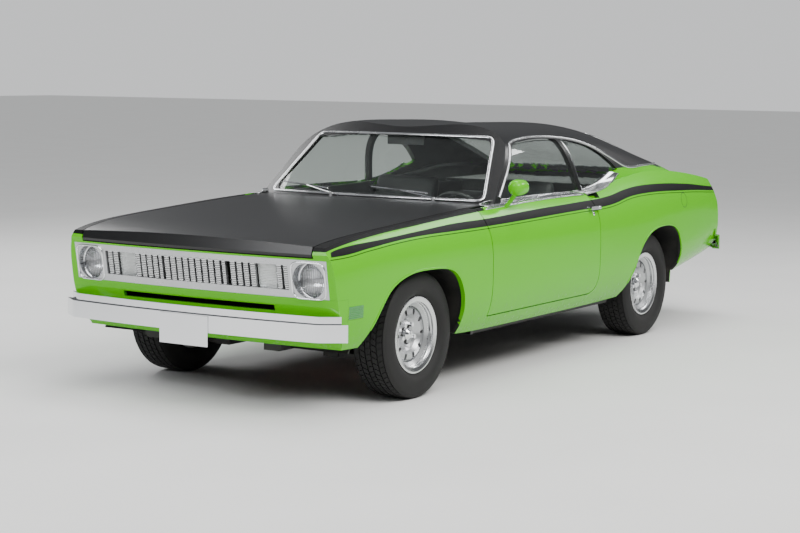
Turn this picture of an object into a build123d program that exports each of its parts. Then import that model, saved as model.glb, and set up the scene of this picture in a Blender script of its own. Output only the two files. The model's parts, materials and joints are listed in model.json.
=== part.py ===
from build123d import *
import os
from math import cos, radians, sin, sqrt

# A two-door muscle car with a black bonnet and roof over a green body. Millimetres. +X is forward, +Y is the
# car's left, +Z is up, and the origin is on the ground at the middle of the overall length and width.

# Overall sizes
LENGTH = 4785
HALF_WIDTH = 903
WHEELBASE = 2743
FRONT_OVERHANG = 876
FRONT_AXLE_X = LENGTH / 2 - FRONT_OVERHANG
REAR_AXLE_X = FRONT_AXLE_X - WHEELBASE

# Wheels and tyres
TYRE_R = 328
TYRE_WIDTH = 215
TREAD_WIDTH = 168
FRONT_TRACK = 1458
REAR_TRACK = 1436
BEAD_R = 177
FLANGE_R = 196
RIM_WIDTH = 152
RIM_FLANGE = 9
SPINDLE_R = 18
RUNNING_GAP = 0.1
STUD_CIRCLE_R = 57
LUG_COUNT = 5
LUG_R = 12
SLOT_COUNT = 10
KINGPIN_Y = 655
KNUCKLE_HALF = 120
ARM_CLEAR = 0.3

# Body shell
GAP = 6
SEAT_GAP = 0.5
SKIN = 22
SKIN_EDGE = 8
DOOR_THICK = 105
DOOR_STEP = 46
FLANGE_LAP = 22
FLANGE_THICK = 10
LID_THICK = 32
ROOF_THICK = 34
GLASS_THICK = 6
GLASS_INSET = 9
GLASS_GAP = 8
BELT_Z = 958
SILL_TOP_Z = 357
DOOR_FRONT_X = 866
DOOR_REAR_X = -402
LEDGE_Y = 698
FLOOR_Z = 262
FLOOR_THICK = 16
SAIL_TOP_Z = 1075
SAIL_FRONT_X = -545
WHEELHOUSE_THICK = 10
WHEELHOUSE_GAP = 20

# Front end
BAND_LOW_Z = 583
BAND_HIGH_Z = 771
BAND_HALF = 797
GRILLE_HALF = 577
GRILLE_LOW_Z = 619
GRILLE_HIGH_Z = 740
LAMP_Y = 691
LAMP_Z = 671
LAMP_R = 88
HOOD_LIP_Z = 786
VALANCE_REAR_X = 2190
BUMPER_X = LENGTH / 2

# Rear end
DECK_FRONT_X = -1880
DECK_LIP_Z = 846
TAIL_FRONT_X = -2215
TAIL_HALF = 772

os.makedirs("parts", exist_ok=True)


def keep(part, name):
    """Labels a finished piece and writes it."""
    part.label = name
    export_step(part, f"parts/{name}.step")


def keep_pair(part, name):
    """Writes a left-hand piece and its mirror image on the right."""
    keep(part, f"{name}_left")
    keep(mirror(part, about=Plane.XZ), f"{name}_right")


# The body's lines plan. Each station gives an X, then how far inside the widest width and how high each
# point of its side lies, from the rocker up to the crest of the wing, and last the height on the centreline.
STATIONS = [
    (2420, (132, 330), (98, 430), (86, 620), (94, 740), (122, 796), 838),
    (2200, (108, 330), (68, 430), (55, 620), (66, 770), (104, 856), 876),
    (1900, (92, 326), (46, 420), (36, 620), (46, 790), (94, 886), 902),
    (FRONT_AXLE_X, (84, 312), (34, 410), (24, 615), (36, 805), (90, 908), 924),
    (1150, (76, 292), (26, 402), (17, 612), (31, 815), (90, 927), 944),
    (700, (74, 285), (20, 400), (10, 610), (29, 825), (95, 943), 957),
    (200, (74, 285), (18, 400), (6, 610), (28, 830), (99, 949), 962),
    (-300, (74, 285), (16, 400), (3, 610), (27, 835), (102, 956), 968),
    (-750, (72, 292), (14, 404), (0, 615), (28, 850), (112, 992), 990),
    (REAR_AXLE_X, (70, 322), (14, 415), (2, 625), (30, 870), (128, 1040), 1018),
    (-1600, (72, 384), (24, 450), (12, 640), (36, 870), (122, 1030), 1026),
    (-2000, (84, 440), (46, 500), (34, 660), (52, 840), (112, 985), 1002),
    (-2250, (96, 480), (64, 540), (54, 680), (70, 812), (114, 944), 968),
    (-2420, (110, 500), (82, 560), (72, 690), (88, 786), (124, 902), 934),
]
OPEN_DROP = 200


def body_form(inset, open_bottom=False, drop=0):
    """The body below the glass, lofted through its stations, drawn in by inset or let down by drop."""
    with BuildPart() as form:
        for x, rocker, lower, wide, upper, crest, centre in STATIONS:
            side = [(HALF_WIDTH - dy - inset, z - drop) for dy, z in (rocker, lower, wide, upper)]
            top = (HALF_WIDTH - crest[0] - inset, crest[1] - inset - drop)
            with BuildSketch(Plane.YZ.offset(x)):
                with BuildLine():
                    left = Spline(*side, top)
                    Spline(top, (0, centre - inset - drop), (-top[0], top[1]))
                    right = Spline((-top[0], top[1]), *[(-y, z) for y, z in reversed(side)])
                    if open_bottom:
                        low = rocker[1] - OPEN_DROP
                        Polyline(right @ 1, (-side[0][0], low), (side[0][0], low), left @ 0)
                    else:
                        Line(right @ 1, left @ 0)
                make_face()
        loft()
    return form.part


# The nose and tail on the centreline, from the bottom up: height, nose X and tail X
END_LEVELS = [
    (60, 2150, -2180),
    (340, 2215, -2225),
    (430, 2268, -2262),
    (545, 2302, -2312),
    (585, 2310, -2330),
    (770, 2340, -2352),
    (800, 2352, -2349),
    (855, 2336, -2325),
    (950, 2325, -2262),
    (1200, 2310, -2150),
]
NOSE_BOW = 58
TAIL_BOW = 46
END_HALF = 1000


def ends_form(inset):
    """A block whose front and rear faces are the bowed nose and tail, used to trim the body."""
    with BuildPart() as form:
        for z, nose, tail in END_LEVELS:
            front = nose - inset
            rear = tail + inset
            with BuildSketch(Plane.XY.offset(z)):
                with BuildLine():
                    ThreePointArc((front - NOSE_BOW, END_HALF), (front, 0), (front - NOSE_BOW, -END_HALF))
                    ThreePointArc((rear + TAIL_BOW, END_HALF), (rear, 0), (rear + TAIL_BOW, -END_HALF))
                    Line((front - NOSE_BOW, END_HALF), (rear + TAIL_BOW, END_HALF))
                    Line((front - NOSE_BOW, -END_HALF), (rear + TAIL_BOW, -END_HALF))
                make_face()
        loft(ruled=True)
    return form.part


# The glasshouse: X, half width at the base, then the side half way up, its upper edge and the roof's
# shoulder as Y and Z, and last the height on the centreline
ROOF_STATIONS = [
    (1000, 790, (742, 1090), (668, 1240), (600, 1278), 1308),
    (450, 788, (742, 1105), (662, 1262), (596, 1302), 1333),
    (0, 786, (738, 1110), (656, 1276), (590, 1320), 1352),
    (-400, 785, (737, 1108), (654, 1266), (588, 1310), 1346),
    (-850, 787, (745, 1096), (668, 1222), (596, 1268), 1300),
    (REAR_AXLE_X, 792, (762, 1050), (694, 1140), (612, 1184), 1208),
    (-1500, 794, (775, 1005), (716, 1078), (628, 1112), 1132),
    (-1750, 794, (780, 965), (728, 1018), (640, 1040), 1052),
    (-1950, 794, (782, 930), (734, 945), (650, 955), 962),
]
GLASSHOUSE_BASE_Z = 880

# The windscreen is an arc in plan, swept back along its rake
SCREEN_BASE_X = 790
SCREEN_RAKE = 1.08
SCREEN_PLAN_R = 2750
SCREEN_BLOCK_HALF = 900
SCREEN_LOW_Z = 860
SCREEN_HIGH_Z = 1460
SCREEN_BLOCK_REAR_X = -2300


def screen_x(z, y):
    """Where the windscreen's outer face lies at a height and a distance off the centreline."""
    sag = SCREEN_PLAN_R - sqrt(SCREEN_PLAN_R**2 - y**2)
    return SCREEN_BASE_X - SCREEN_RAKE * (z - BELT_Z) - sag


def screen_block(inset):
    """Everything behind the windscreen's outer face, moved back by inset."""
    shift = inset * sqrt(1 + SCREEN_RAKE**2)
    with BuildPart() as form:
        for z in (SCREEN_LOW_Z, SCREEN_HIGH_Z):
            middle = screen_x(z, 0) - shift
            side = screen_x(z, SCREEN_BLOCK_HALF) - shift
            with BuildSketch(Plane.XY.offset(z)):
                with BuildLine():
                    ThreePointArc((side, SCREEN_BLOCK_HALF), (middle, 0), (side, -SCREEN_BLOCK_HALF))
                    Polyline(
                        (side, SCREEN_BLOCK_HALF),
                        (SCREEN_BLOCK_REAR_X, SCREEN_BLOCK_HALF),
                        (SCREEN_BLOCK_REAR_X, -SCREEN_BLOCK_HALF),
                        (side, -SCREEN_BLOCK_HALF),
                    )
                make_face()
        loft(ruled=True)
    return form.part


def glasshouse(inset):
    """The roof, pillars and glass as one solid form, drawn in by inset all round."""
    with BuildPart() as form:
        for x, base, middle, edge, shoulder, centre in ROOF_STATIONS:
            half = [
                (base - inset, GLASSHOUSE_BASE_Z),
                (middle[0] - inset, middle[1]),
                (edge[0] - inset * 0.9, edge[1] - inset * 0.45),
                (shoulder[0] - inset * 0.4, shoulder[1] - inset * 0.9),
            ]
            with BuildSketch(Plane.YZ.offset(x)):
                with BuildLine():
                    line = Spline(*half, (0, centre - inset), *[(-y, z) for y, z in reversed(half)])
                    Line(line @ 1, line @ 0)
                make_face()
        loft()
        add(screen_block(inset), mode=Mode.INTERSECT)
    return form.part


def block(x0, x1, y0, y1, z0, z1):
    """A plain box between two corners, used to part the panels and for simple members."""
    with BuildPart() as form:
        with BuildSketch(Plane.XY.offset(z0)):
            with Locations(((x0 + x1) / 2, (y0 + y1) / 2)):
                Rectangle(abs(x1 - x0), abs(y1 - y0))
        extrude(amount=z1 - z0)
    return form.part


def rod(start, end, radius):
    """A round bar between two points."""
    path = Vector(*end) - Vector(*start)
    with BuildPart() as form:
        with BuildSketch(Plane(origin=start, z_dir=path)):
            Circle(radius)
        extrude(amount=path.length)
    return form.part


def between(outline, first, second):
    """An outline stretched straight from one plane to another."""
    with BuildPart() as form:
        for plane in (first, second):
            with BuildSketch(plane):
                add(outline)
        loft(ruled=True)
    return form.part


def side_block(outline, y0, y1):
    """A side-view outline stretched across the car between two distances off the centreline."""
    return between(outline, Plane.XZ.offset(-max(y0, y1)), Plane.XZ.offset(-min(y0, y1)))


def plan_block(outline, z0, z1):
    """A plan outline stretched upwards."""
    return between(outline, Plane.XY.offset(z0), Plane.XY.offset(z1))


EDGE_STEPS = 10


def grown(outline, grow):
    """An outline grown or shrunk all round, redrawn with plain lines, arcs and splines."""
    if not grow:
        return outline
    with BuildSketch() as wide:
        add(outline)
        offset(amount=grow)
    with BuildSketch() as sk:
        with BuildLine():
            for edge in wide.sketch.edges():
                if edge.geom_type == GeomType.LINE:
                    Line(edge @ 0, edge @ 1)
                elif edge.geom_type == GeomType.CIRCLE:
                    ThreePointArc(edge @ 0, edge @ 0.5, edge @ 1)
                else:
                    Spline(*[edge @ (step / EDGE_STEPS) for step in range(EDGE_STEPS + 1)])
        make_face()
    return sk.sketch


# Shut lines and openings in side view
def door_outline(grow=0):
    """The door's edge, with a front line that leans forward at its top and a round lower rear corner."""
    low = SILL_TOP_Z + GAP
    top = BELT_Z + 120
    with BuildSketch() as sk:
        with BuildLine():
            front = Spline(
                (DOOR_FRONT_X + 100, top),
                (DOOR_FRONT_X + 52, 935),
                (DOOR_FRONT_X + 14, 800),
                (DOOR_FRONT_X, 640),
                (DOOR_FRONT_X + 10, 470),
                (DOOR_FRONT_X + 26, low),
            )
            bottom = Line(front @ 1, (DOOR_REAR_X + 120, low))
            rear = Spline(
                bottom @ 1,
                (DOOR_REAR_X + 34, low + 42),
                (DOOR_REAR_X + 12, low + 150),
                (DOOR_REAR_X, 760),
                (DOOR_REAR_X + 8, 870),
                (DOOR_REAR_X + 47, BELT_Z),
                (DOOR_REAR_X + 85, top),
            )
            Line(rear @ 1, front @ 0)
        make_face()
    return grown(sk.sketch, grow)


def front_arch(grow=0):
    """The front wheel opening: upright behind the wheel, flat on top and swept forward at its front edge."""
    x = FRONT_AXLE_X
    with BuildSketch() as sk:
        with BuildLine():
            arch = Spline(
                (x - 350, 200),
                (x - 362, 400),
                (x - 350, 520),
                (x - 296, 610),
                (x - 190, 656),
                (x + 40, 667),
                (x + 190, 650),
                (x + 312, 602),
                (x + 400, 520),
                (x + 486, 400),
                (x + 600, 200),
            )
            Line(arch @ 1, arch @ 0)
        make_face()
    return grown(sk.sketch, grow)


def rear_arch(grow=0):
    """The rear wheel opening: swept forward at its front edge and upright behind the wheel."""
    x = REAR_AXLE_X
    with BuildSketch() as sk:
        with BuildLine():
            arch = Spline(
                (x - 356, 200),
                (x - 366, 400),
                (x - 362, 540),
                (x - 318, 640),
                (x - 210, 690),
                (x - 20, 694),
                (x + 130, 660),
                (x + 240, 590),
                (x + 330, 480),
                (x + 410, 360),
                (x + 570, 200),
            )
            Line(arch @ 1, arch @ 0)
        make_face()
    return grown(sk.sketch, grow)


# The side windows
PILLAR_TOP = (-262, 1274)
PILLAR_FOOT = (-364, BELT_Z)
PILLAR_WIDTH = 40
WINDOW_FRONT_LOW = (600, BELT_Z - 4)
WINDOW_FRONT_HIGH = (336, 1232)
WINDOW_SILL_DROP = 40


def pillar_x(z):
    """The front edge of the slanted centre pillar at a height."""
    lean = (PILLAR_TOP[0] - PILLAR_FOOT[0]) / (PILLAR_TOP[1] - PILLAR_FOOT[1])
    return PILLAR_FOOT[0] + lean * (z - PILLAR_FOOT[1])


def window_outline(grow=0):
    """The side opening of the glasshouse, from the screen pillar to the point behind the quarter glass."""
    low = BELT_Z - WINDOW_SILL_DROP
    with BuildSketch() as sk:
        with BuildLine():
            front = Line((WINDOW_FRONT_LOW[0] + 40, low), WINDOW_FRONT_HIGH)
            rail = Spline(
                WINDOW_FRONT_HIGH,
                (292, 1258),
                (200, 1270),
                (0, 1278),
                (-262, 1270),
                (-500, 1244),
                (-680, 1198),
                (-820, 1128),
                (-905, 1070),
            )
            tail = Spline(rail @ 1, (-790, 1035), (-640, 1002), (-500, low + 30))
            Polyline(tail @ 1, (-500, low), front @ 0)
        make_face()
    return grown(sk.sketch, grow)


def glass_split(front, clear):
    """The part of the side view ahead of the centre pillar, or behind it, kept clear of it."""
    z0 = BELT_Z - 200
    z1 = BELT_Z + 500
    edge = clear if front else -PILLAR_WIDTH - clear
    far = 1500 if front else -1500
    with BuildSketch() as sk:
        with BuildLine():
            Polyline(
                (pillar_x(z0) + edge, z0),
                (pillar_x(z1) + edge, z1),
                (far, z1),
                (far, z0),
                (pillar_x(z0) + edge, z0),
            )
        make_face()
    return sk.sketch


# Shut lines in plan
BONNET_REAR_X = SCREEN_BASE_X + 75
BONNET_REAR_BOW = 108
BONNET_HALF = 752


def bonnet_outline(grow=0):
    """The bonnet, with a bowed rear edge."""
    rear_side = BONNET_REAR_X - BONNET_REAR_BOW
    with BuildSketch() as sk:
        with BuildLine():
            back = ThreePointArc((rear_side, -BONNET_HALF), (BONNET_REAR_X, 0), (rear_side, BONNET_HALF))
            left = Spline(back @ 1, (1500, BONNET_HALF + 8), (2080, BONNET_HALF), (2420, BONNET_HALF - 48))
            front = Line(left @ 1, (2420, 48 - BONNET_HALF))
            Spline(front @ 1, (2080, -BONNET_HALF), (1500, -BONNET_HALF - 8), back @ 0)
        make_face()
    return grown(sk.sketch, grow)


DECK_FRONT_HALF = 655
DECK_REAR_HALF = 705
DECK_BOW = 26


def deck_outline(grow=0):
    """The boot lid."""
    rear = -LENGTH / 2 - 30
    with BuildSketch() as sk:
        with BuildLine():
            front = ThreePointArc(
                (DECK_FRONT_X - DECK_BOW, DECK_FRONT_HALF),
                (DECK_FRONT_X, 0),
                (DECK_FRONT_X - DECK_BOW, -DECK_FRONT_HALF),
            )
            Polyline(front @ 1, (rear, -DECK_REAR_HALF), (rear, DECK_REAR_HALF), front @ 0)
        make_face()
    return grown(sk.sketch, grow)


REAR_GLASS_FRONT_X = -960
REAR_GLASS_REAR_X = -1812
REAR_GLASS_FRONT_HALF = 540
REAR_GLASS_REAR_HALF = 605


def rear_glass_outline(grow=0):
    """The back window seen from above."""
    with BuildSketch() as sk:
        with BuildLine():
            front = ThreePointArc(
                (REAR_GLASS_FRONT_X - 30, REAR_GLASS_FRONT_HALF),
                (REAR_GLASS_FRONT_X, 0),
                (REAR_GLASS_FRONT_X - 30, -REAR_GLASS_FRONT_HALF),
            )
            rear = ThreePointArc(
                (REAR_GLASS_REAR_X + 30, -REAR_GLASS_REAR_HALF),
                (REAR_GLASS_REAR_X, 0),
                (REAR_GLASS_REAR_X + 30, REAR_GLASS_REAR_HALF),
            )
            Line(front @ 1, rear @ 0)
            Line(rear @ 1, front @ 0)
        make_face()
        fillet(sk.vertices(), radius=40)
    return grown(sk.sketch, grow)


SCREEN_LOW_HALF = 716
SCREEN_HIGH_HALF = 588
SCREEN_SILL_Z = 972
SCREEN_HEAD_Z = 1298


def screen_outline(grow=0):
    """The windscreen opening seen from the front."""
    with BuildSketch() as sk:
        with BuildLine():
            low = ThreePointArc(
                (-SCREEN_LOW_HALF, SCREEN_SILL_Z - 8), (0, SCREEN_SILL_Z), (SCREEN_LOW_HALF, SCREEN_SILL_Z - 8)
            )
            high = ThreePointArc(
                (SCREEN_HIGH_HALF, SCREEN_HEAD_Z - 22), (0, SCREEN_HEAD_Z), (-SCREEN_HIGH_HALF, SCREEN_HEAD_Z - 22)
            )
            Line(low @ 1, high @ 0)
            Line(high @ 1, low @ 0)
        make_face()
        fillet(sk.vertices(), radius=45)
    return grown(sk.sketch, grow)


def front_view_block(outline, x0, x1):
    """A front-view outline stretched along the car."""
    return between(outline, Plane.YZ.offset(x0), Plane.YZ.offset(x1))


# Shared forms
with BuildPart() as outer_form:
    add(body_form(0))
    add(ends_form(0), mode=Mode.INTERSECT)
outer = outer_form.part

with BuildPart() as core_form:
    add(body_form(SKIN, open_bottom=True))
    add(ends_form(SKIN), mode=Mode.INTERSECT)
core = core_form.part

with BuildPart() as inside_form:
    add(body_form(SKIN + SEAT_GAP, open_bottom=True))
    add(ends_form(SKIN + SEAT_GAP), mode=Mode.INTERSECT)
inside = inside_form.part

with BuildPart() as lid_form:
    add(body_form(0, open_bottom=True, drop=LID_THICK))
    add(ends_form(LID_THICK), mode=Mode.INTERSECT)
lid_core = lid_form.part

flange_core = body_form(SKIN + SEAT_GAP + FLANGE_THICK, open_bottom=True)
wall_core = body_form(DOOR_THICK, open_bottom=True)
sill_core = body_form(SKIN + SEAT_GAP + 2 * FLANGE_THICK, open_bottom=True)
gutter_top = body_form(0, open_bottom=True, drop=LID_THICK + SEAT_GAP)
gutter_low = body_form(0, open_bottom=True, drop=LID_THICK + SEAT_GAP + FLANGE_THICK)
roof_outer = glasshouse(0)
roof_inner = glasshouse(ROOF_THICK)
glass_outer = glasshouse(GLASS_INSET)
glass_inner = glasshouse(GLASS_INSET + GLASS_THICK)


def layer(region, outside, within):
    """The part of a region that lies inside one form and outside another."""
    with BuildPart() as form:
        add(region)
        add(outside, mode=Mode.INTERSECT)
        add(within, mode=Mode.SUBTRACT)
    return form.part


def ring(big, small, low, high, along):
    """The band between two outlines, stretched by the given function."""
    with BuildPart() as form:
        add(along(big, low, high))
        add(along(small, low - 1, high + 1), mode=Mode.SUBTRACT)
    return form.part


SIDES = (("left", 1), ("right", -1))
FAR_Y = HALF_WIDTH + 40
NOSE_X = LENGTH / 2 + 40
TAIL_X = -LENGTH / 2 - 40
HIGH_Z = 1500
FENDER_REAR_X = DOOR_FRONT_X - 10
COWL_SIDE_Z = 896
PILLAR_SEAT_FRONT_X = 774
PILLAR_SEAT_REAR_X = 604
PILLAR_SEAT_Y = 788
CORNER_SWEEP_Y = 758
COWL_FRONT_X = 954
CABIN_FLOOR_TOP = FLOOR_Z + FLOOR_THICK
HOOD_GUTTER_END_X = 2265
DECK_GUTTER_END_X = -2215
SHELF_FRONT_X = REAR_GLASS_REAR_X + 30
SHELF_REAR_X = DECK_FRONT_X - GAP - 34

# Cutters that more than one panel uses
door_gap = side_block(door_outline(GAP), LEDGE_Y - 60, FAR_Y)
bonnet_gap = plan_block(bonnet_outline(GAP), HOOD_LIP_Z - GAP, HIGH_Z)
deck_gap = plan_block(deck_outline(GAP), DECK_LIP_Z - GAP, HIGH_Z)
band_gap = block(2100, NOSE_X, -BAND_HALF - SEAT_GAP, BAND_HALF + SEAT_GAP, BAND_LOW_Z, BAND_HIGH_Z)
cabin_gap = block(SHELF_FRONT_X, PILLAR_SEAT_REAR_X, -LEDGE_Y, LEDGE_Y, 900, HIGH_Z)
shelf_gap = block(SHELF_REAR_X, SHELF_FRONT_X, -500, 500, 900, HIGH_Z)
tail_gap = block(TAIL_X, TAIL_FRONT_X, -TAIL_HALF - SEAT_GAP, TAIL_HALF + SEAT_GAP, 300, DECK_LIP_Z)


def wheelhouse(arch, side, inner_y, walled=True):
    """The liner over a wheel, following the wheel opening, with its inner wall."""
    with BuildPart() as form:
        add(
            ring(
                arch(WHEELHOUSE_GAP + WHEELHOUSE_THICK),
                arch(WHEELHOUSE_GAP),
                min(side * inner_y, side * FAR_Y),
                max(side * inner_y, side * FAR_Y),
                side_block,
            )
        )
        if walled:
            add(
                side_block(
                    arch(WHEELHOUSE_GAP + WHEELHOUSE_THICK), side * inner_y, side * (inner_y + WHEELHOUSE_THICK)
                )
            )
        add(inside, mode=Mode.INTERSECT)
        split(bisect_by=Plane.XY.offset(CABIN_FLOOR_TOP + 22), keep=Keep.TOP)
    return form.part


# Gutters and flanges that carry the closed lids and doors on their edges
def lid_gutter(outline, region):
    """An L-shaped channel under a lid's edge, within a region."""
    with BuildPart() as form:
        add(ring(outline(GAP + FLANGE_THICK), outline(-FLANGE_LAP), 700, HIGH_Z, plan_block))
        add(region, mode=Mode.INTERSECT)
        add(gutter_top, mode=Mode.INTERSECT)
        add(gutter_low, mode=Mode.SUBTRACT)
        add(
            layer(
                region & ring(outline(GAP + FLANGE_THICK), outline(GAP), 700, HIGH_Z, plan_block),
                outer,
                gutter_low,
            )
        )
        add(ends_form(0), mode=Mode.INTERSECT)
    return form.part


def door_flange():
    """The lip that the closed left door's rear and lower edges rest on."""
    low, high = LEDGE_Y + 2, FAR_Y
    region = block(-600, 760, low, high, 200, 930)
    with BuildPart() as form:
        add(ring(door_outline(GAP + FLANGE_THICK), door_outline(-FLANGE_LAP), low, high, side_block))
        add(region, mode=Mode.INTERSECT)
        add(inside, mode=Mode.INTERSECT)
        add(flange_core, mode=Mode.SUBTRACT)
        add(
            layer(
                region & ring(door_outline(GAP + FLANGE_THICK), door_outline(GAP), low, high, side_block),
                outer,
                flange_core,
            )
        )
    return form.part


# Front wings
FRONT_HOUSE_Y = 436
with BuildPart() as fender:
    add(layer(block(FENDER_REAR_X, NOSE_X, 0, FAR_Y, 250, HIGH_Z), outer, core))
    add(door_gap, mode=Mode.SUBTRACT)
    add(bonnet_gap, mode=Mode.SUBTRACT)
    add(band_gap, mode=Mode.SUBTRACT)
    add(side_block(front_arch(), 500, FAR_Y), mode=Mode.SUBTRACT)
    add(block(VALANCE_REAR_X, NOSE_X, 0, FAR_Y, 200, BAND_LOW_Z), mode=Mode.SUBTRACT)
    add(block(0, COWL_FRONT_X, 0, CORNER_SWEEP_Y, COWL_SIDE_Z - 1, HIGH_Z), mode=Mode.SUBTRACT)
    add(lid_gutter(bonnet_outline, block(COWL_FRONT_X + 1, HOOD_GUTTER_END_X, 500, FAR_Y, 750, HIGH_Z)))
keep_pair(fender.part, "fender")

# Bonnet
with BuildPart() as hood:
    add(layer(plan_block(bonnet_outline(), HOOD_LIP_Z, HIGH_Z), outer, lid_core))
keep(hood.part, "hood")

# Boot lid
with BuildPart() as deck:
    add(layer(plan_block(deck_outline(), DECK_LIP_Z, HIGH_Z), outer, lid_core))
keep(deck.part, "deck_lid")

# Doors
with BuildPart() as door:
    add(layer(side_block(door_outline(), LEDGE_Y, FAR_Y), outer, core))
    add(layer(side_block(door_outline(-DOOR_STEP), LEDGE_Y, FAR_Y), core, wall_core))
    add(
        block(PILLAR_SEAT_REAR_X - GAP, 1000, LEDGE_Y - 60, PILLAR_SEAT_Y + GAP, COWL_SIDE_Z - GAP, HIGH_Z),
        mode=Mode.SUBTRACT,
    )
keep_pair(door.part, "door")

# Rear body sides, each with its sill, its door step, its roof pillar's foot and its wheelhouse
REAR_HOUSE_Y = 566
SAIL_REAR_X = -1868
with BuildPart() as panel:
    add(layer(block(TAIL_X, FENDER_REAR_X - 2, 0, FAR_Y, 250, HIGH_Z), outer, core))
    add(block(-330, 2000, 0, FAR_Y, SILL_TOP_Z, HIGH_Z), mode=Mode.SUBTRACT)
    add(door_gap, mode=Mode.SUBTRACT)
    add(cabin_gap, mode=Mode.SUBTRACT)
    add(shelf_gap, mode=Mode.SUBTRACT)
    add(deck_gap, mode=Mode.SUBTRACT)
    add(tail_gap, mode=Mode.SUBTRACT)
sail = layer(
    block(SAIL_REAR_X, SAIL_FRONT_X, 500, FAR_Y, BELT_Z - 60, SAIL_TOP_Z),
    roof_outer,
    roof_inner,
)
with BuildPart() as trim_wall:
    add(layer(block(-1240, DOOR_REAR_X - 14, 600, FAR_Y, SILL_TOP_Z - 7, BELT_Z - 30), core, wall_core))
    add(side_block(rear_arch(WHEELHOUSE_GAP), 500, FAR_Y), mode=Mode.SUBTRACT)
with BuildPart() as quarter:
    add(panel.part)
    add(sail)
    add(plan_block(rear_glass_outline(), 880, HIGH_Z), mode=Mode.SUBTRACT)
    add(side_block(window_outline(), 500, FAR_Y), mode=Mode.SUBTRACT)
    add(trim_wall.part)
    add(wheelhouse(rear_arch, 1, REAR_HOUSE_Y))
    add(side_block(rear_arch(), 500, FAR_Y), mode=Mode.SUBTRACT)
    add(door_flange())
    add(lid_gutter(deck_outline, block(DECK_GUTTER_END_X, SAIL_REAR_X, 500, FAR_Y, 700, HIGH_Z)))
keep_pair(quarter.part, "quarter")

# Roof
with BuildPart() as roof:
    add(roof_outer)
    add(roof_inner, mode=Mode.SUBTRACT)
    add(front_view_block(screen_outline(), 150, 1000), mode=Mode.SUBTRACT)
    add(plan_block(rear_glass_outline(), BELT_Z, HIGH_Z), mode=Mode.SUBTRACT)
    for ahead in (True, False):
        add(side_block(window_outline() & glass_split(ahead, 0), -HALF_WIDTH, HALF_WIDTH), mode=Mode.SUBTRACT)
    add(outer, mode=Mode.SUBTRACT)
    add(block(-2000, SAIL_FRONT_X, -FAR_Y, FAR_Y, 800, SAIL_TOP_Z), mode=Mode.SUBTRACT)
    add(rod((362, 0, 1312), (352, 0, 1262), 8))
    add(block(345, 357, -125, 125, 1236, 1286))
keep(roof.part, "roof")

# Glass: a pane in each door, and the windscreen, the back window and the quarter panes fixed to the body
def side_pane(ahead):
    """The left side's pane ahead of the centre pillar, or behind it."""
    with BuildSketch() as pane:
        add(window_outline(-GLASS_GAP))
        add(glass_split(ahead, GLASS_GAP), mode=Mode.INTERSECT)
    with BuildPart() as form:
        add(side_block(pane.sketch, 600, FAR_Y))
        add(glass_outer, mode=Mode.INTERSECT)
        add(glass_inner, mode=Mode.SUBTRACT)
        add(outer, mode=Mode.SUBTRACT)
    return form.part


keep_pair(side_pane(True), "door_glass")

with BuildPart() as windscreen:
    add(front_view_block(screen_outline(-SEAT_GAP), 150, 1000))
    add(screen_block(GLASS_INSET), mode=Mode.INTERSECT)
    add(screen_block(GLASS_INSET + GLASS_THICK), mode=Mode.SUBTRACT)
with BuildPart() as rear_window:
    add(plan_block(rear_glass_outline(-SEAT_GAP), 880, HIGH_Z))
    add(glass_outer, mode=Mode.INTERSECT)
    add(glass_inner, mode=Mode.SUBTRACT)
    add(outer, mode=Mode.SUBTRACT)
quarter_pane = side_pane(False)
with BuildPart() as fixed_glass:
    add(windscreen.part)
    add(rear_window.part)
    add(quarter_pane)
    mirror(quarter_pane, about=Plane.XZ)
keep(fixed_glass.part, "fixed_glass")

# Scuttle: the panel under the screen, the screen pillars' feet, the bulkhead and the door pillars
COWL_REAR_X = 640
BULKHEAD_X = 846
BULKHEAD_THICK = 16
BULKHEAD_HALF = 684
DOOR_PILLAR_X = 932
DOOR_PILLAR_THICK = 26
with BuildPart() as cowl:
    add(layer(block(COWL_REAR_X, COWL_FRONT_X - 1, -CORNER_SWEEP_Y + 1, CORNER_SWEEP_Y - 1, 800, HIGH_Z), outer, core))
    for side in (1, -1):
        add(
            block(
                PILLAR_SEAT_REAR_X, PILLAR_SEAT_FRONT_X, side * (LEDGE_Y + 4), side * PILLAR_SEAT_Y,
                COWL_SIDE_Z, HIGH_Z,
            )
            & outer
        )
        add(
            block(
                PILLAR_SEAT_FRONT_X - 1, COWL_FRONT_X - 1, side * (LEDGE_Y + 4), side * (CORNER_SWEEP_Y - 1),
                COWL_SIDE_Z, HIGH_Z,
            )
            & outer
        )
    add(bonnet_gap, mode=Mode.SUBTRACT)
    add(lid_gutter(bonnet_outline, block(600, COWL_FRONT_X - 1, -CORNER_SWEEP_Y + 1, CORNER_SWEEP_Y - 1, 750, HIGH_Z)))
    add(
        block(BULKHEAD_X, BULKHEAD_X + BULKHEAD_THICK, -BULKHEAD_HALF, BULKHEAD_HALF, FLOOR_Z, HIGH_Z)
        & gutter_top
    )
    for side in (1, -1):
        add(
            block(
                BULKHEAD_X, DOOR_PILLAR_X + DOOR_PILLAR_THICK, side * (BULKHEAD_HALF - 12), side * BULKHEAD_HALF,
                FLOOR_Z, COWL_SIDE_Z + 20,
            )
            & gutter_low
        )
        add(
            block(
                DOOR_PILLAR_X, DOOR_PILLAR_X + DOOR_PILLAR_THICK, side * (BULKHEAD_HALF - 12), side * FAR_Y,
                FLOOR_Z, COWL_SIDE_Z - 20,
            )
            & inside
        )
    add(block(BULKHEAD_X - 1, BULKHEAD_X + BULKHEAD_THICK + 1, -138, 138, FLOOR_Z - 1, 388), mode=Mode.SUBTRACT)
keep(cowl.part, "firewall_cowl")

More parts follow.
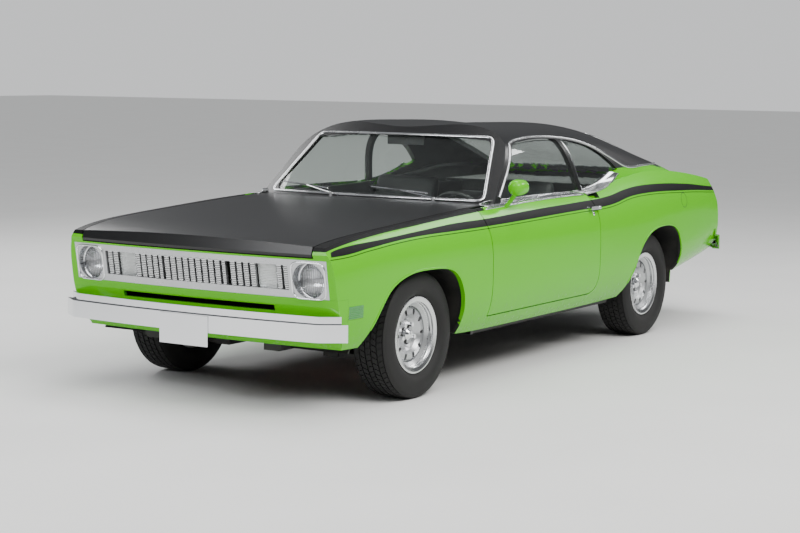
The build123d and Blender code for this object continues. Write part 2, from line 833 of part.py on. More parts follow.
# Rear shelf, with the strip between the back window and the boot lid
SHELF_Z = 925
with BuildPart() as shelf:
    add(layer(block(SHELF_REAR_X, SHELF_FRONT_X, -499, 499, 880, HIGH_Z), outer, core))
    add(
        layer(
            block(SAIL_REAR_X, REAR_GLASS_REAR_X + 40, -499, 499, 940, SAIL_TOP_Z), roof_outer, roof_inner
        )
    )
    add(deck_gap, mode=Mode.SUBTRACT)
    add(plan_block(rear_glass_outline(), BELT_Z, HIGH_Z), mode=Mode.SUBTRACT)
    add(lid_gutter(deck_outline, block(SAIL_REAR_X - 60, SAIL_REAR_X + 40, -499, 499, 700, HIGH_Z)))
    add(block(SAIL_REAR_X, -1245, -LEDGE_Y + 8, LEDGE_Y - 8, SHELF_Z, SHELF_Z + 16))
    add(block(SAIL_REAR_X, SAIL_REAR_X + 16, -499, 499, SHELF_Z, 990))
    add(block(-1262, -1250, 1 - REAR_HOUSE_Y, REAR_HOUSE_Y - 1, 517, SHELF_Z + 16))
keep(shelf.part, "rear_shelf")

# Nose panel under the grille
VALANCE_SLOT_HALF = 480
VALANCE_SLOT_Z = (510, 539)
VALANCE_LOW_Z = 200
with BuildPart() as valance:
    add(
        layer(
            block(VALANCE_REAR_X + SEAT_GAP, NOSE_X, -FAR_Y, FAR_Y, VALANCE_LOW_Z, BAND_LOW_Z - SEAT_GAP),
            outer,
            core,
        )
    )
    add(
        block(VALANCE_REAR_X, NOSE_X, -VALANCE_SLOT_HALF, VALANCE_SLOT_HALF, VALANCE_SLOT_Z[0], VALANCE_SLOT_Z[1]),
        mode=Mode.SUBTRACT,
    )
keep(valance.part, "front_panel")

# Tail panel with recesses for the lamps
TAIL_LAMP_Y = (250, 730)
TAIL_LAMP_Z = (664, 752)
TAIL_LOW_Z = 300
LAMP_POCKET_X = TAIL_FRONT_X + 15
with BuildPart() as tail:
    add(
        layer(
            block(TAIL_X, TAIL_FRONT_X - SEAT_GAP, -TAIL_HALF, TAIL_HALF, TAIL_LOW_Z, DECK_LIP_Z - GAP),
            outer,
            core,
        )
    )
    for side in (1, -1):
        add(
            block(
                TAIL_X, LAMP_POCKET_X, side * TAIL_LAMP_Y[0], side * TAIL_LAMP_Y[1], TAIL_LAMP_Z[0], TAIL_LAMP_Z[1]
            ),
            mode=Mode.SUBTRACT,
        )
keep(tail.part, "tail_panel")

LAMP_SINK = 2
LAMP_DEPTH = 28
with BuildPart() as tail_lamps:
    for side in (1, -1):
        add(
            block(
                TAIL_X, LAMP_POCKET_X, side * (TAIL_LAMP_Y[0] + SEAT_GAP), side * (TAIL_LAMP_Y[1] - SEAT_GAP),
                TAIL_LAMP_Z[0] + SEAT_GAP, TAIL_LAMP_Z[1] - SEAT_GAP,
            )
        )
    add(ends_form(LAMP_SINK), mode=Mode.INTERSECT)
    add(ends_form(LAMP_SINK + LAMP_DEPTH), mode=Mode.SUBTRACT)
keep(tail_lamps.part, "tail_lamps")

# Grille: a deep band right across the nose, with lamp holes and upright bowed ribs
BAND_DEPTH = 62
RIB_PITCH = 40
RIB_WIDTH = 30
RIB_DEPTH = 16
RIB_BOW = 8
RIB_SINK = 6
RIB_STEP = 10
MIDDLE_RIB_COUNT = 9
INNER_RIBS_FROM = 245
INNER_RIB_COUNT = 4
OUTER_RIBS_FROM = 517
OUTER_RIB_COUNT = 2
END_BAR_Y = 200
END_BAR_WIDTH = 20
RIB_LAP = 3
LAMP_CLEAR = 0.3


def nose_x(z, y):
    """Where the nose lies at a height and a distance off the centreline."""
    for (z0, x0, _), (z1, x1, _) in zip(END_LEVELS, END_LEVELS[1:]):
        if z0 <= z <= z1:
            middle = x0 + (x1 - x0) * (z - z0) / (z1 - z0)
    return middle - NOSE_BOW * (y / END_HALF) ** 2


def rib(y, width, forward, low=GRILLE_LOW_Z - RIB_LAP, high=GRILLE_HIGH_Z + RIB_LAP):
    """An upright shape in the grille, bowed forward, following the nose's slope."""
    with BuildPart() as form:
        for z in (low, high):
            x = nose_x(z, y) - RIB_SINK + forward - RIB_BOW
            with BuildSketch(Plane.XY.offset(z)):
                with BuildLine():
                    ThreePointArc((x, y - width / 2), (x + RIB_BOW, y), (x, y + width / 2))
                    Polyline(
                        (x, y + width / 2), (x - RIB_DEPTH, y + width / 2), (x - RIB_DEPTH, y - width / 2),
                        (x, y - width / 2),
                    )
                make_face()
        loft(ruled=True)
    return form.part


rib_places = [(RIB_PITCH * (i - MIDDLE_RIB_COUNT // 2), RIB_WIDTH, RIB_STEP) for i in range(MIDDLE_RIB_COUNT)]
for side in (1, -1):
    rib_places.append((side * END_BAR_Y, END_BAR_WIDTH, RIB_STEP))
    for i in range(INNER_RIB_COUNT):
        rib_places.append((side * (INNER_RIBS_FROM + RIB_PITCH * i), RIB_WIDTH, 0))
    for i in range(OUTER_RIB_COUNT):
        rib_places.append((side * (OUTER_RIBS_FROM + RIB_PITCH * i), RIB_WIDTH, 0))
with BuildPart() as grille:
    add(
        layer(
            block(2100, NOSE_X, -BAND_HALF, BAND_HALF, BAND_LOW_Z + SEAT_GAP, BAND_HIGH_Z - SEAT_GAP),
            outer,
            ends_form(BAND_DEPTH),
        )
    )
    add(block(2100, NOSE_X, -GRILLE_HALF, GRILLE_HALF, GRILLE_LOW_Z, GRILLE_HIGH_Z), mode=Mode.SUBTRACT)
    for side in (1, -1):
        add(rod((2100, side * LAMP_Y, LAMP_Z), (NOSE_X, side * LAMP_Y, LAMP_Z), LAMP_R), mode=Mode.SUBTRACT)
    for y, width, forward in rib_places:
        add(rib(y, width, forward))
keep(grille.part, "grille")

# Round headlamps, the parking lamps between the ribs and the side markers
HEADLAMP_FRONT_X = 2265
HEADLAMP_DOME = 12
HEADLAMP_DEPTH = 34
PARKING_Y = (386, 495)
PARKING_SINK = 14
PARKING_DEPTH = 20
MARKER_X = (2076, 2186)
MARKER_Z = (484, 546)
MARKER_PROUD = 3
with BuildPart() as front_lamps:
    for side in (1, -1):
        radius = LAMP_R - LAMP_CLEAR
        edge_x = HEADLAMP_FRONT_X - HEADLAMP_DOME
        back_x = edge_x - HEADLAMP_DEPTH
        with BuildSketch(Plane(origin=(0, side * LAMP_Y, LAMP_Z), x_dir=(1, 0, 0), z_dir=(0, -1, 0))):
            with BuildLine():
                dome = Spline(
                    (edge_x, radius), (HEADLAMP_FRONT_X, 0), tangents=((0.35, -0.94), (0, -1))
                )
                Polyline(dome @ 1, (back_x, 0), (back_x, radius), dome @ 0)
            make_face()
        revolve(axis=Axis((0, side * LAMP_Y, LAMP_Z), (1, 0, 0)))
        add(
            rib(
                side * (PARKING_Y[0] + PARKING_Y[1]) / 2, PARKING_Y[1] - PARKING_Y[0], -PARKING_SINK,
                GRILLE_LOW_Z + LAMP_CLEAR, GRILLE_HIGH_Z - LAMP_CLEAR,
            )
        )
        add(
            layer(
                block(MARKER_X[0], MARKER_X[1], side * 700, side * FAR_Y, MARKER_Z[0], MARKER_Z[1]),
                body_form(-MARKER_PROUD),
                outer,
            )
        )
keep(front_lamps.part, "front_lamps")

# Bumpers: a pressed bar with a lower lip, an upper ledge and ends that wrap round the corners
BUMPER_SHEET = 8
BUMPER_HALF = 893
BUMPER_CORNER_Y = 775
BUMPER_CORNER_R = 110
PLATE_THICK = 3


def bumper_outline(front_x, bow, corner_back, grow=0):
    """A bumper seen from above, as a closed shape whose rear edge is open in the bar."""
    ahead = 1 if front_x > 0 else -1
    corner_x = front_x - ahead * bow
    rear_x = corner_x - ahead * corner_back
    open_x = rear_x - ahead * 300
    with BuildSketch() as sk:
        with BuildLine():
            face = ThreePointArc((corner_x, BUMPER_CORNER_Y), (front_x, 0), (corner_x, -BUMPER_CORNER_Y))
            Polyline(
                face @ 1, (rear_x, -BUMPER_HALF), (open_x, -BUMPER_HALF), (open_x, BUMPER_HALF),
                (rear_x, BUMPER_HALF), face @ 0,
            )
        make_face()
        near_corner = sk.vertices().sort_by(Axis.X, reverse=ahead > 0)[0:2]
        fillet(near_corner, radius=BUMPER_CORNER_R)
    return grown(sk.sketch, grow)


def bumper(front_x, bow, corner_back, low_z, ledge_z, top_z, ledge, lip):
    """A bumper bar built from its lip, its face, its ledge and the upper face set back behind the ledge."""
    ahead = 1 if front_x > 0 else -1
    rear_x = front_x - ahead * (bow + corner_back)
    sheet = BUMPER_SHEET

    def shape(grow):
        return bumper_outline(front_x, bow, corner_back, grow)

    with BuildPart() as form:
        add(ring(shape(0), shape(-sheet), low_z, ledge_z, plan_block))
        add(ring(shape(-ledge), shape(-ledge - sheet), ledge_z, top_z, plan_block))
        add(ring(shape(0), shape(-ledge - sheet), ledge_z - sheet, ledge_z, plan_block))
        add(ring(shape(0), shape(-lip), low_z, low_z + sheet, plan_block))
        add(block(rear_x, rear_x - ahead * 400, -FAR_Y, FAR_Y, low_z - 1, top_z + 1), mode=Mode.SUBTRACT)
    return form.part


FRONT_BUMPER_X = BUMPER_X - PLATE_THICK
FRONT_BUMPER_BOW = 48
FRONT_BUMPER_END = 85
FRONT_BUMPER_Z = (384, 470, 506)
PLATE_SIZE = (305, 152)
PLATE_LOW_Z = 314
PLATE_BACK_X = FRONT_BUMPER_X
BRACKET_Y = 400
with BuildPart() as front_bumper:
    add(bumper(FRONT_BUMPER_X, FRONT_BUMPER_BOW, FRONT_BUMPER_END, *FRONT_BUMPER_Z, ledge=22, lip=46))
    add(
        block(
            PLATE_BACK_X - 1, BUMPER_X, -PLATE_SIZE[0] / 2, PLATE_SIZE[0] / 2, PLATE_LOW_Z,
            PLATE_LOW_Z + PLATE_SIZE[1],
        )
    )
    for side in (1, -1):
        add(block(2180, FRONT_BUMPER_X - 20, side * (BRACKET_Y - 25), side * (BRACKET_Y + 25), 400, 440))
    add(outer, mode=Mode.SUBTRACT)
keep(front_bumper.part, "front_bumper")

REAR_BUMPER_BOW = 40
REAR_BUMPER_END = 125
REAR_BUMPER_Z = (474, 570, 609)
with BuildPart() as rear_bumper:
    add(bumper(-BUMPER_X, REAR_BUMPER_BOW, REAR_BUMPER_END, *REAR_BUMPER_Z, ledge=18, lip=40))
    for side in (1, -1):
        add(block(2 - BUMPER_X, -2300, side * (BRACKET_Y - 25), side * (BRACKET_Y + 25), 530, 566))
    add(outer, mode=Mode.SUBTRACT)
keep(rear_bumper.part, "rear_bumper")

# Engine bay: side aprons, the front wheelhouses, frame rails, the radiator and its support
APRON_THICK = 12
RAIL_Y = 330
SUPPORT_X = (2165, 2181)
RADIATOR = (2120, 2170, 330, 400, 780)
with BuildPart() as bay:
    for side in (1, -1):
        with BuildSketch(Plane.XZ.offset(-max(side * FRONT_HOUSE_Y, side * (FRONT_HOUSE_Y - APRON_THICK)))):
            with BuildLine():
                Polyline((868, 300), (868, 880), (1150, 870), (1700, 840), (2170, 790), (2170, 300), (868, 300))
            make_face()
        extrude(amount=APRON_THICK)
        add(block(868, 2170, side * RAIL_Y, side * (FRONT_HOUSE_Y - APRON_THICK), 290, 370))
        add(wheelhouse(front_arch, side, FRONT_HOUSE_Y, walled=False))
    add(block(SUPPORT_X[0], SUPPORT_X[1], -700, 700, 330, 780) & inside)
    add(block(RADIATOR[0], RADIATOR[1], -RADIATOR[2], RADIATOR[2], RADIATOR[3], RADIATOR[4]))
keep(bay.part, "engine_bay")

# Front suspension: crossmember, wishbones that reach the kingpins, springs and their towers
ARM_TIP = 20
ARM_ROOT = 110
LOWER_ARM_Z = (188, TYRE_R - KNUCKLE_HALF - ARM_CLEAR)
UPPER_ARM_Z = (TYRE_R + KNUCKLE_HALF + ARM_CLEAR, 466)
SPRING_SEAT_Y = 500
with BuildPart() as suspension:
    add(block(FRONT_AXLE_X - 75, FRONT_AXLE_X + 75, -RAIL_Y - 70, RAIL_Y + 70, 236, 290))
    for side in (1, -1):
        add(
            block(
                FRONT_AXLE_X - ARM_ROOT, FRONT_AXLE_X + ARM_ROOT, side * (RAIL_Y - 20), side * (RAIL_Y + 70),
                LOWER_ARM_Z[0], 290,
            )
        )
        for inner_y, (low, high) in ((RAIL_Y + 40, LOWER_ARM_Z), (FRONT_HOUSE_Y, UPPER_ARM_Z)):
            with BuildSketch(Plane.XY.offset(low)):
                with BuildLine():
                    Polyline(
                        (FRONT_AXLE_X - ARM_ROOT, side * inner_y), (FRONT_AXLE_X - ARM_TIP, side * KINGPIN_Y),
                        (FRONT_AXLE_X + ARM_TIP, side * KINGPIN_Y), (FRONT_AXLE_X + ARM_ROOT, side * inner_y),
                        (FRONT_AXLE_X - ARM_ROOT, side * inner_y),
                    )
                make_face()
            extrude(amount=high - low)
        spring_y = side * SPRING_SEAT_Y
        add(rod((FRONT_AXLE_X, spring_y, LOWER_ARM_Z[0]), (FRONT_AXLE_X, spring_y, 600), 42))
        add(block(FRONT_AXLE_X - 60, FRONT_AXLE_X + 60, side * FRONT_HOUSE_Y, side * 546, 560, 600))
keep(suspension.part, "front_suspension")


# Wheels
DISC_BACK = 2
HUB_FACE = 16
wheel_places = (
    ("front", (FRONT_AXLE_X, FRONT_TRACK / 2, TYRE_R)),
    ("rear", (REAR_AXLE_X, REAR_TRACK / 2, TYRE_R)),
)


def profile_plane(centre, side):
    """The plane that holds a wheel's section: X is the radius and Y the distance outboard."""
    return Plane(origin=centre, x_dir=(1, 0, 0), z_dir=(0, 0, side))


def face_plane(centre, side, out):
    """The plane parallel to a wheel's face, a distance outboard of its middle."""
    origin = (centre[0], centre[1] + side * out, centre[2])
    return Plane(origin=origin, x_dir=(1, 0, 0), z_dir=(0, side, 0))


def tyre(centre, side):
    """A hollow tyre with a slightly crowned tread."""
    half = TYRE_WIDTH / 2
    bead = RIM_WIDTH / 2 - 0.5
    low = BEAD_R + 0.3
    with BuildPart() as form:
        with BuildSketch(profile_plane(centre, side)):
            with BuildLine():
                Polyline((low, bead - 20), (low, bead), (FLANGE_R + 3, bead))
                wall = Spline(
                    (FLANGE_R + 3, bead), (226, half - 7), (258, half), (300, half - 6), (TYRE_R - 4, TREAD_WIDTH / 2)
                )
                tread = ThreePointArc(wall @ 1, (TYRE_R, 0), (TYRE_R - 4, -TREAD_WIDTH / 2))
                other = Spline(tread @ 1, (300, 6 - half), (258, -half), (226, 7 - half), (FLANGE_R + 3, -bead))
                Polyline(other @ 1, (low, -bead), (low, 20 - bead), (204, 18 - bead))
                Spline((204, 18 - bead), (256, 14 - half), (300, 18 - half), (TYRE_R - 14, -70))
                Line((TYRE_R - 14, -70), (TYRE_R - 14, 70))
                Spline((TYRE_R - 14, 70), (300, half - 18), (256, half - 14), (204, bead - 18))
                Line((204, bead - 18), (low, bead - 20))
            make_face()
        revolve(axis=Axis(centre, (0, 1, 0)))
    return form.part


def rim(centre, side):
    """A pressed steel wheel: rim with its well, dished disc with slots, nuts and a small domed cap."""
    edge = RIM_WIDTH / 2
    lip = edge + RIM_FLANGE
    bore = SPINDLE_R + RUNNING_GAP
    with BuildPart() as form:
        with BuildSketch(profile_plane(centre, side)):
            with BuildLine():
                Polyline(
                    (FLANGE_R, lip), (FLANGE_R, edge), (BEAD_R, edge), (BEAD_R - 2, 48), (152, 34), (152, -18),
                    (BEAD_R - 2, -38), (BEAD_R, -edge), (FLANGE_R, -edge), (FLANGE_R, -lip), (FLANGE_R - 6, -lip),
                    (BEAD_R - 6, -edge - 4), (BEAD_R - 8, -40), (146, -20), (146, 10), (128, 28), (106, 32),
                    (88, 14), (70, DISC_BACK), (bore, DISC_BACK), (bore, 26), (0, 26), (0, 50), (18, 48), (31, 36),
                    (34, HUB_FACE), (70, HUB_FACE), (86, 26), (104, 44), (130, 42), (146, 28), (146, 38), (BEAD_R - 8, 52),
                    (BEAD_R - 6, edge + 4), (FLANGE_R - 6, lip), (FLANGE_R, lip),
                )
            make_face()
        revolve(axis=Axis(centre, (0, 1, 0)))
        with BuildSketch(face_plane(centre, side, 20)):
            with PolarLocations(118, SLOT_COUNT):
                SlotOverall(34, 20)
        extrude(amount=30, mode=Mode.SUBTRACT)
        with BuildSketch(face_plane(centre, side, HUB_FACE)):
            with PolarLocations(STUD_CIRCLE_R, LUG_COUNT, start_angle=90):
                RegularPolygon(LUG_R, 6)
        extrude(amount=24)
    return form.part


for name, centre in wheel_places:
    keep_pair(tyre(centre, 1), f"tyre_{name}")
    keep_pair(rim(centre, 1), f"rim_{name}")

# Steering knuckles with their brake discs and spindles
HUB_R = 50
DISC_R = 132


def hub(centre, side, from_y):
    """A spindle with the flange that a wheel bolts to, and its brake."""
    wheel_back = centre[1] + side * (DISC_BACK - ARM_CLEAR)
    x, z = centre[0], centre[2]
    with BuildPart() as form:
        add(rod((x, side * from_y, z), (x, wheel_back, z), HUB_R - 6))
        add(rod((x, centre[1] - side * 6, z), (x, wheel_back, z), HUB_R))
        add(rod((x, side * from_y, z), (x, centre[1] + side * 22, z), SPINDLE_R))
        add(rod((x, centre[1] - side * 44, z), (x, centre[1] - side * 22, z), DISC_R))
    return form.part


with BuildPart() as knuckle:
    add(
        block(
            FRONT_AXLE_X - 34, FRONT_AXLE_X + 34, KINGPIN_Y - 18, KINGPIN_Y + 18, TYRE_R - KNUCKLE_HALF,
            TYRE_R + KNUCKLE_HALF,
        )
    )
    add(hub((FRONT_AXLE_X, FRONT_TRACK / 2, TYRE_R), 1, KINGPIN_Y))
keep_pair(knuckle.part, "knuckle")

# Floor: cabin pan, kick-up over the axle, boot floor, tunnel, fuel tank and sills with their jacking pads
FLOOR_FRONT_X = BULKHEAD_X - 1
KICK_X = -700
FLOOR_HALF = 690
REAR_FLOOR_HALF = REAR_HOUSE_Y - SEAT_GAP
JACK_X = 300
JACK_Y = 740
JACK_PAD_THICK = 8
with BuildPart() as floor:
    with BuildSketch(Plane.XZ.offset(-REAR_FLOOR_HALF)):
        with BuildLine():
            Polyline(
                (FLOOR_FRONT_X, FLOOR_Z), (KICK_X, FLOOR_Z), (-790, 340), (-1010, 360), (-1110, 500), (-1390, 500),
                (-1520, 400), (-2190, 400), (-2190, 416), (-1515, 416), (-1384, 516), (-1116, 516), (-1016, 376),
                (-796, 356), (KICK_X, FLOOR_Z + FLOOR_THICK), (FLOOR_FRONT_X, FLOOR_Z + FLOOR_THICK), (FLOOR_FRONT_X, FLOOR_Z),
            )
        make_face()
    extrude(amount=2 * REAR_FLOOR_HALF)
    add(block(KICK_X, FLOOR_FRONT_X, -FLOOR_HALF, FLOOR_HALF, FLOOR_Z, FLOOR_Z + FLOOR_THICK))
    with BuildSketch(Plane.XY.offset(FLOOR_Z)):
        with BuildLine():
            Polyline(
                    (FLOOR_FRONT_X, -150), (FLOOR_FRONT_X, 150), (-1060, 110), (-1060, -110), (FLOOR_FRONT_X, -150),
                )
        make_face()
    extrude(amount=400 - FLOOR_Z)
    with BuildSketch(Plane.XY.offset(FLOOR_Z - 40)):
        with BuildLine():
            Polyline((850, -138), (850, 138), (-1120, 98), (-1120, -98), (850, -138))
        make_face()
    extrude(amount=388 - FLOOR_Z + 40, mode=Mode.SUBTRACT)
    add(block(-2090, -1640, -290, 290, 262, 400))
    for side in (1, -1):
        add(block(-660, -644, side * 112, side * 540, FLOOR_Z + FLOOR_THICK - 2, 400))
    for side in (1, -1):
        sill = block(KICK_X, 931, side * FLOOR_HALF, side * FAR_Y, FLOOR_Z, SILL_TOP_Z - 8)
        add(sill & flange_core)
        hollow = block(KICK_X + 12, 940, side * (FLOOR_HALF + 12), side * FAR_Y, FLOOR_Z + 12, SILL_TOP_Z - 20)
        add(hollow & sill_core, mode=Mode.SUBTRACT)
        add(block(-2190, -1626, side * (REAR_FLOOR_HALF - 2), side * FAR_Y, 476, 492) & inside)
        add(block(-2190, -1626, side * (REAR_FLOOR_HALF - 12), side * REAR_FLOOR_HALF, 400, 492))
        add(
            block(
                JACK_X - 30, JACK_X + 30, side * (JACK_Y - 20), side * (JACK_Y + 20),
                FLOOR_Z - JACK_PAD_THICK, FLOOR_Z + 1,
            )
        )
keep(floor.part, "floor_pan")

# Engine and gearbox as plain masses, with the engine's mounts
with BuildPart() as engine:
    add(block(1010, 1650, -250, 250, 300, 790))
    with BuildSketch(Plane.YZ.offset(250)):
        with Locations((0, 318)):
            Circle(62)
    extrude(amount=400)
    with BuildSketch(Plane.YZ.offset(870)):
        with Locations((0, 318)):
            Circle(118)
    extrude(amount=150)
    add(block(1290, 1370, -329.7, 329.7, 320, 360))
keep(engine.part, "engine_block")

# Exhaust
PIPE_R = 24
PIPE_Y = 368
MUFFLER = (-60, -560)
with BuildPart() as exhaust:
    for side in (1, -1):
        with BuildLine():
            path = FilletPolyline(
                (1100, side * 215, 275.6), (900, side * 215, 232), (650, side * PIPE_Y, 228), (-980, side * PIPE_Y, 228),
                (-1120, side * PIPE_Y, 432), (-1330, side * PIPE_Y, 432), (-1480, side * PIPE_Y, 330),
                (-2300, side * PIPE_Y, 318),
                radius=60,
            )
        with BuildSketch(Plane(origin=path @ 0, z_dir=path % 0)):
            Circle(PIPE_R)
        sweep(path=path)
        with BuildSketch(Plane.YZ.offset(MUFFLER[1])):
            with Locations((side * PIPE_Y, 212)):
                SlotOverall(190, 86)
        extrude(amount=MUFFLER[0] - MUFFLER[1])
keep(exhaust.part, "exhaust")

# Rear axle with its leaf springs, and the propeller shaft
SPRING_Y = 480
with BuildPart() as axle:
    add(rod((REAR_AXLE_X, -640, TYRE_R), (REAR_AXLE_X, 640, TYRE_R), 38))
    with Locations((REAR_AXLE_X, 0, TYRE_R)):
        Sphere(118)
    for side in (1, -1):
        add(hub((REAR_AXLE_X, side * REAR_TRACK / 2, TYRE_R), side, 600))
        with BuildSketch(Plane.XZ.offset(-(side * SPRING_Y + 32))):
            with BuildLine():
                upper_leaf = ThreePointArc((-640, 250), (REAR_AXLE_X, 292), (-1880, 340))
                lower_leaf = ThreePointArc((-640, 236), (REAR_AXLE_X, 264), (-1880, 326))
                Line(upper_leaf @ 0, lower_leaf @ 0)
                Line(upper_leaf @ 1, lower_leaf @ 1)
            make_face()
        extrude(amount=64)
        add(block(-1890, -1860, side * SPRING_Y - 32, side * SPRING_Y + 32, 326, 399.7))
        add(block(-650, -620, side * SPRING_Y - 32, side * SPRING_Y + 32, 236, FLOOR_Z - 0.3))
    add(rod((640, 0, 318), (REAR_AXLE_X, 0, TYRE_R), 34))
    add(engine.part, mode=Mode.SUBTRACT)
keep(axle.part, "rear_axle")

# Seats
SEAT_Y = 400


def seat_cushion(x0, x1, half, z0, z1, radius, y=0):
    """A flat pad with rounded edges."""
    with BuildPart() as form:
        with BuildSketch(Plane.XY.offset(z0)):
            with Locations(((x0 + x1) / 2, y)):
                Rectangle(x1 - x0, 2 * half)
        extrude(amount=z1 - z0)
        fillet(form.edges(), radius=radius)
    return form.part


def seat_back(foot, lean, height, half, thick, radius, y=0):
    """A backrest that leans back from its foot."""
    across = cos(radians(lean))
    rise = sin(radians(lean))
    plane = Plane(origin=(foot[0], y, foot[1]), x_dir=(across, 0, rise), z_dir=(-rise, 0, across))
    with BuildPart() as form:
        with BuildSketch(plane):
            Rectangle(thick, 2 * half)
        extrude(amount=height)
        fillet(form.edges(), radius=radius)
    return form.part


with BuildPart() as front_seats:
    for side in (1, -1):
        add(seat_cushion(-170, 330, 235, 330, 480, 34, side * SEAT_Y))
        add(seat_back((-150, 420), 17, 620, 225, 110, 34, side * SEAT_Y))
        add(block(-110, 270, side * SEAT_Y - 190, side * SEAT_Y + 190, CABIN_FLOOR_TOP, 340))
keep(front_seats.part, "front_seats")
with BuildPart() as rear_seat:
    add(seat_cushion(-1012, -560, 540, 400.3, 520, 34))
    add(seat_back((-985, 440), 22, 460, 540, 110, 34))
keep(rear_seat.part, "rear_seat")

# Steering wheel
WHEEL_CENTRE = (372, 390, 800)
COLUMN_TILT = 24
COLUMN_DIR = Vector(cos(radians(COLUMN_TILT)), 0, -sin(radians(COLUMN_TILT)))
with BuildPart() as steering_wheel:
    wheel_plane = Plane(origin=WHEEL_CENTRE, x_dir=(0, 1, 0), z_dir=COLUMN_DIR)
    with BuildSketch(Plane(origin=WHEEL_CENTRE, x_dir=(0, 1, 0), z_dir=wheel_plane.y_dir)):
        with Locations((190, 0)):
            Circle(13)
    revolve(axis=Axis(WHEEL_CENTRE, COLUMN_DIR))
    with BuildSketch(wheel_plane.offset(10)):
        Circle(42)
        with PolarLocations(0, 3, start_angle=90):
            with Locations((95, 0)):
                Rectangle(186, 28)
    extrude(amount=12)
keep(steering_wheel.part, "steering_wheel")
column_start = Vector(*WHEEL_CENTRE) + COLUMN_DIR * 22.3
column_end = Vector(*WHEEL_CENTRE) + COLUMN_DIR * 400
DASH_FRONT_X = BULKHEAD_X - 0.3
with BuildPart() as dash:
    with BuildSketch(Plane.XZ.offset(-676)):
        with BuildLine():
            Polyline(
                (DASH_FRONT_X, 690), (720, 690), (622, 752), (600, 850), (640, 896), (730, 892), (DASH_FRONT_X, 850),
                (DASH_FRONT_X, 690),
            )
        make_face()
    extrude(amount=2 * 676)
    add(rod(tuple(column_start), tuple(column_end), 26))
keep(dash.part, "dashboard")

# Wipers, parked along the foot of the windscreen
WIPER_Y = (-211, 455)
WIPER_POST_R = 9
BLADE_R = 5
BLADE_SPAN = (70, 440)
BLADE_Z = (992, 1012)
BLADE_CLEAR = 8
with BuildPart() as wipers:
    for y in WIPER_Y:
        post_x = screen_x(BELT_Z, y) + 34
        add(rod((post_x, y, BELT_Z - 30), (post_x, y, BELT_Z + 18), WIPER_POST_R))
        near = (screen_x(BLADE_Z[0], y - BLADE_SPAN[0]) + BLADE_CLEAR, y - BLADE_SPAN[0], BLADE_Z[0])
        far = (screen_x(BLADE_Z[1], y - BLADE_SPAN[1]) + BLADE_CLEAR, y - BLADE_SPAN[1], BLADE_Z[1])
        middle = tuple((a + b) / 2 for a, b in zip(near, far))
        add(rod(near, far, BLADE_R))
        add(rod((post_x, y, BELT_Z + 14), middle, BLADE_R - 1))
    add(outer, mode=Mode.SUBTRACT)
keep(wipers.part, "wipers")

# Door handles, and the bullet-shaped mirror of the left door
HANDLE_X = -349
HANDLE_Z = 868
HANDLE_SPAN = 62
HANDLE_Y = (882, 893)
MIRROR_X = (552, 662)
MIRROR_CENTRE = (886, 1038)
MIRROR_R = 44
for name, side in SIDES:
    with BuildPart() as fittings:
        add(
            block(
                HANDLE_X - HANDLE_SPAN, HANDLE_X + HANDLE_SPAN, side * HANDLE_Y[0], side * HANDLE_Y[1],
                HANDLE_Z - 10, HANDLE_Z + 10,
            )
        )
        for end in (-1, 1):
            foot_x = HANDLE_X + end * (HANDLE_SPAN - 11)
            add(rod((foot_x, side * 840, HANDLE_Z), (foot_x, side * (HANDLE_Y[0] + 1), HANDLE_Z), 10))
        if name == "left":
            y, z = MIRROR_CENTRE
            with BuildSketch(Plane(origin=(0, y, z), x_dir=(1, 0, 0), z_dir=(0, -1, 0))):
                with BuildLine():
                    shell = Spline(
                        (MIRROR_X[0], MIRROR_R - 3), (MIRROR_X[0] + 30, MIRROR_R), (MIRROR_X[1], 0),
                        tangents=((1, 0.2), (0, -1)),
                    )
                    Polyline(shell @ 1, (MIRROR_X[0], 0), shell @ 0)
                make_face()
            revolve(axis=Axis((0, y, z), (1, 0, 0)))
            add(rod((608, 800, 910), (600, y - 10, z - 30), 12))
        add(outer, mode=Mode.SUBTRACT)
    keep(fittings.part, f"door_fittings_{name}")
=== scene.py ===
import json
import math
import bmesh
import bpy
from mathutils import Matrix, Vector
from mathutils.bvhtree import BVHTree

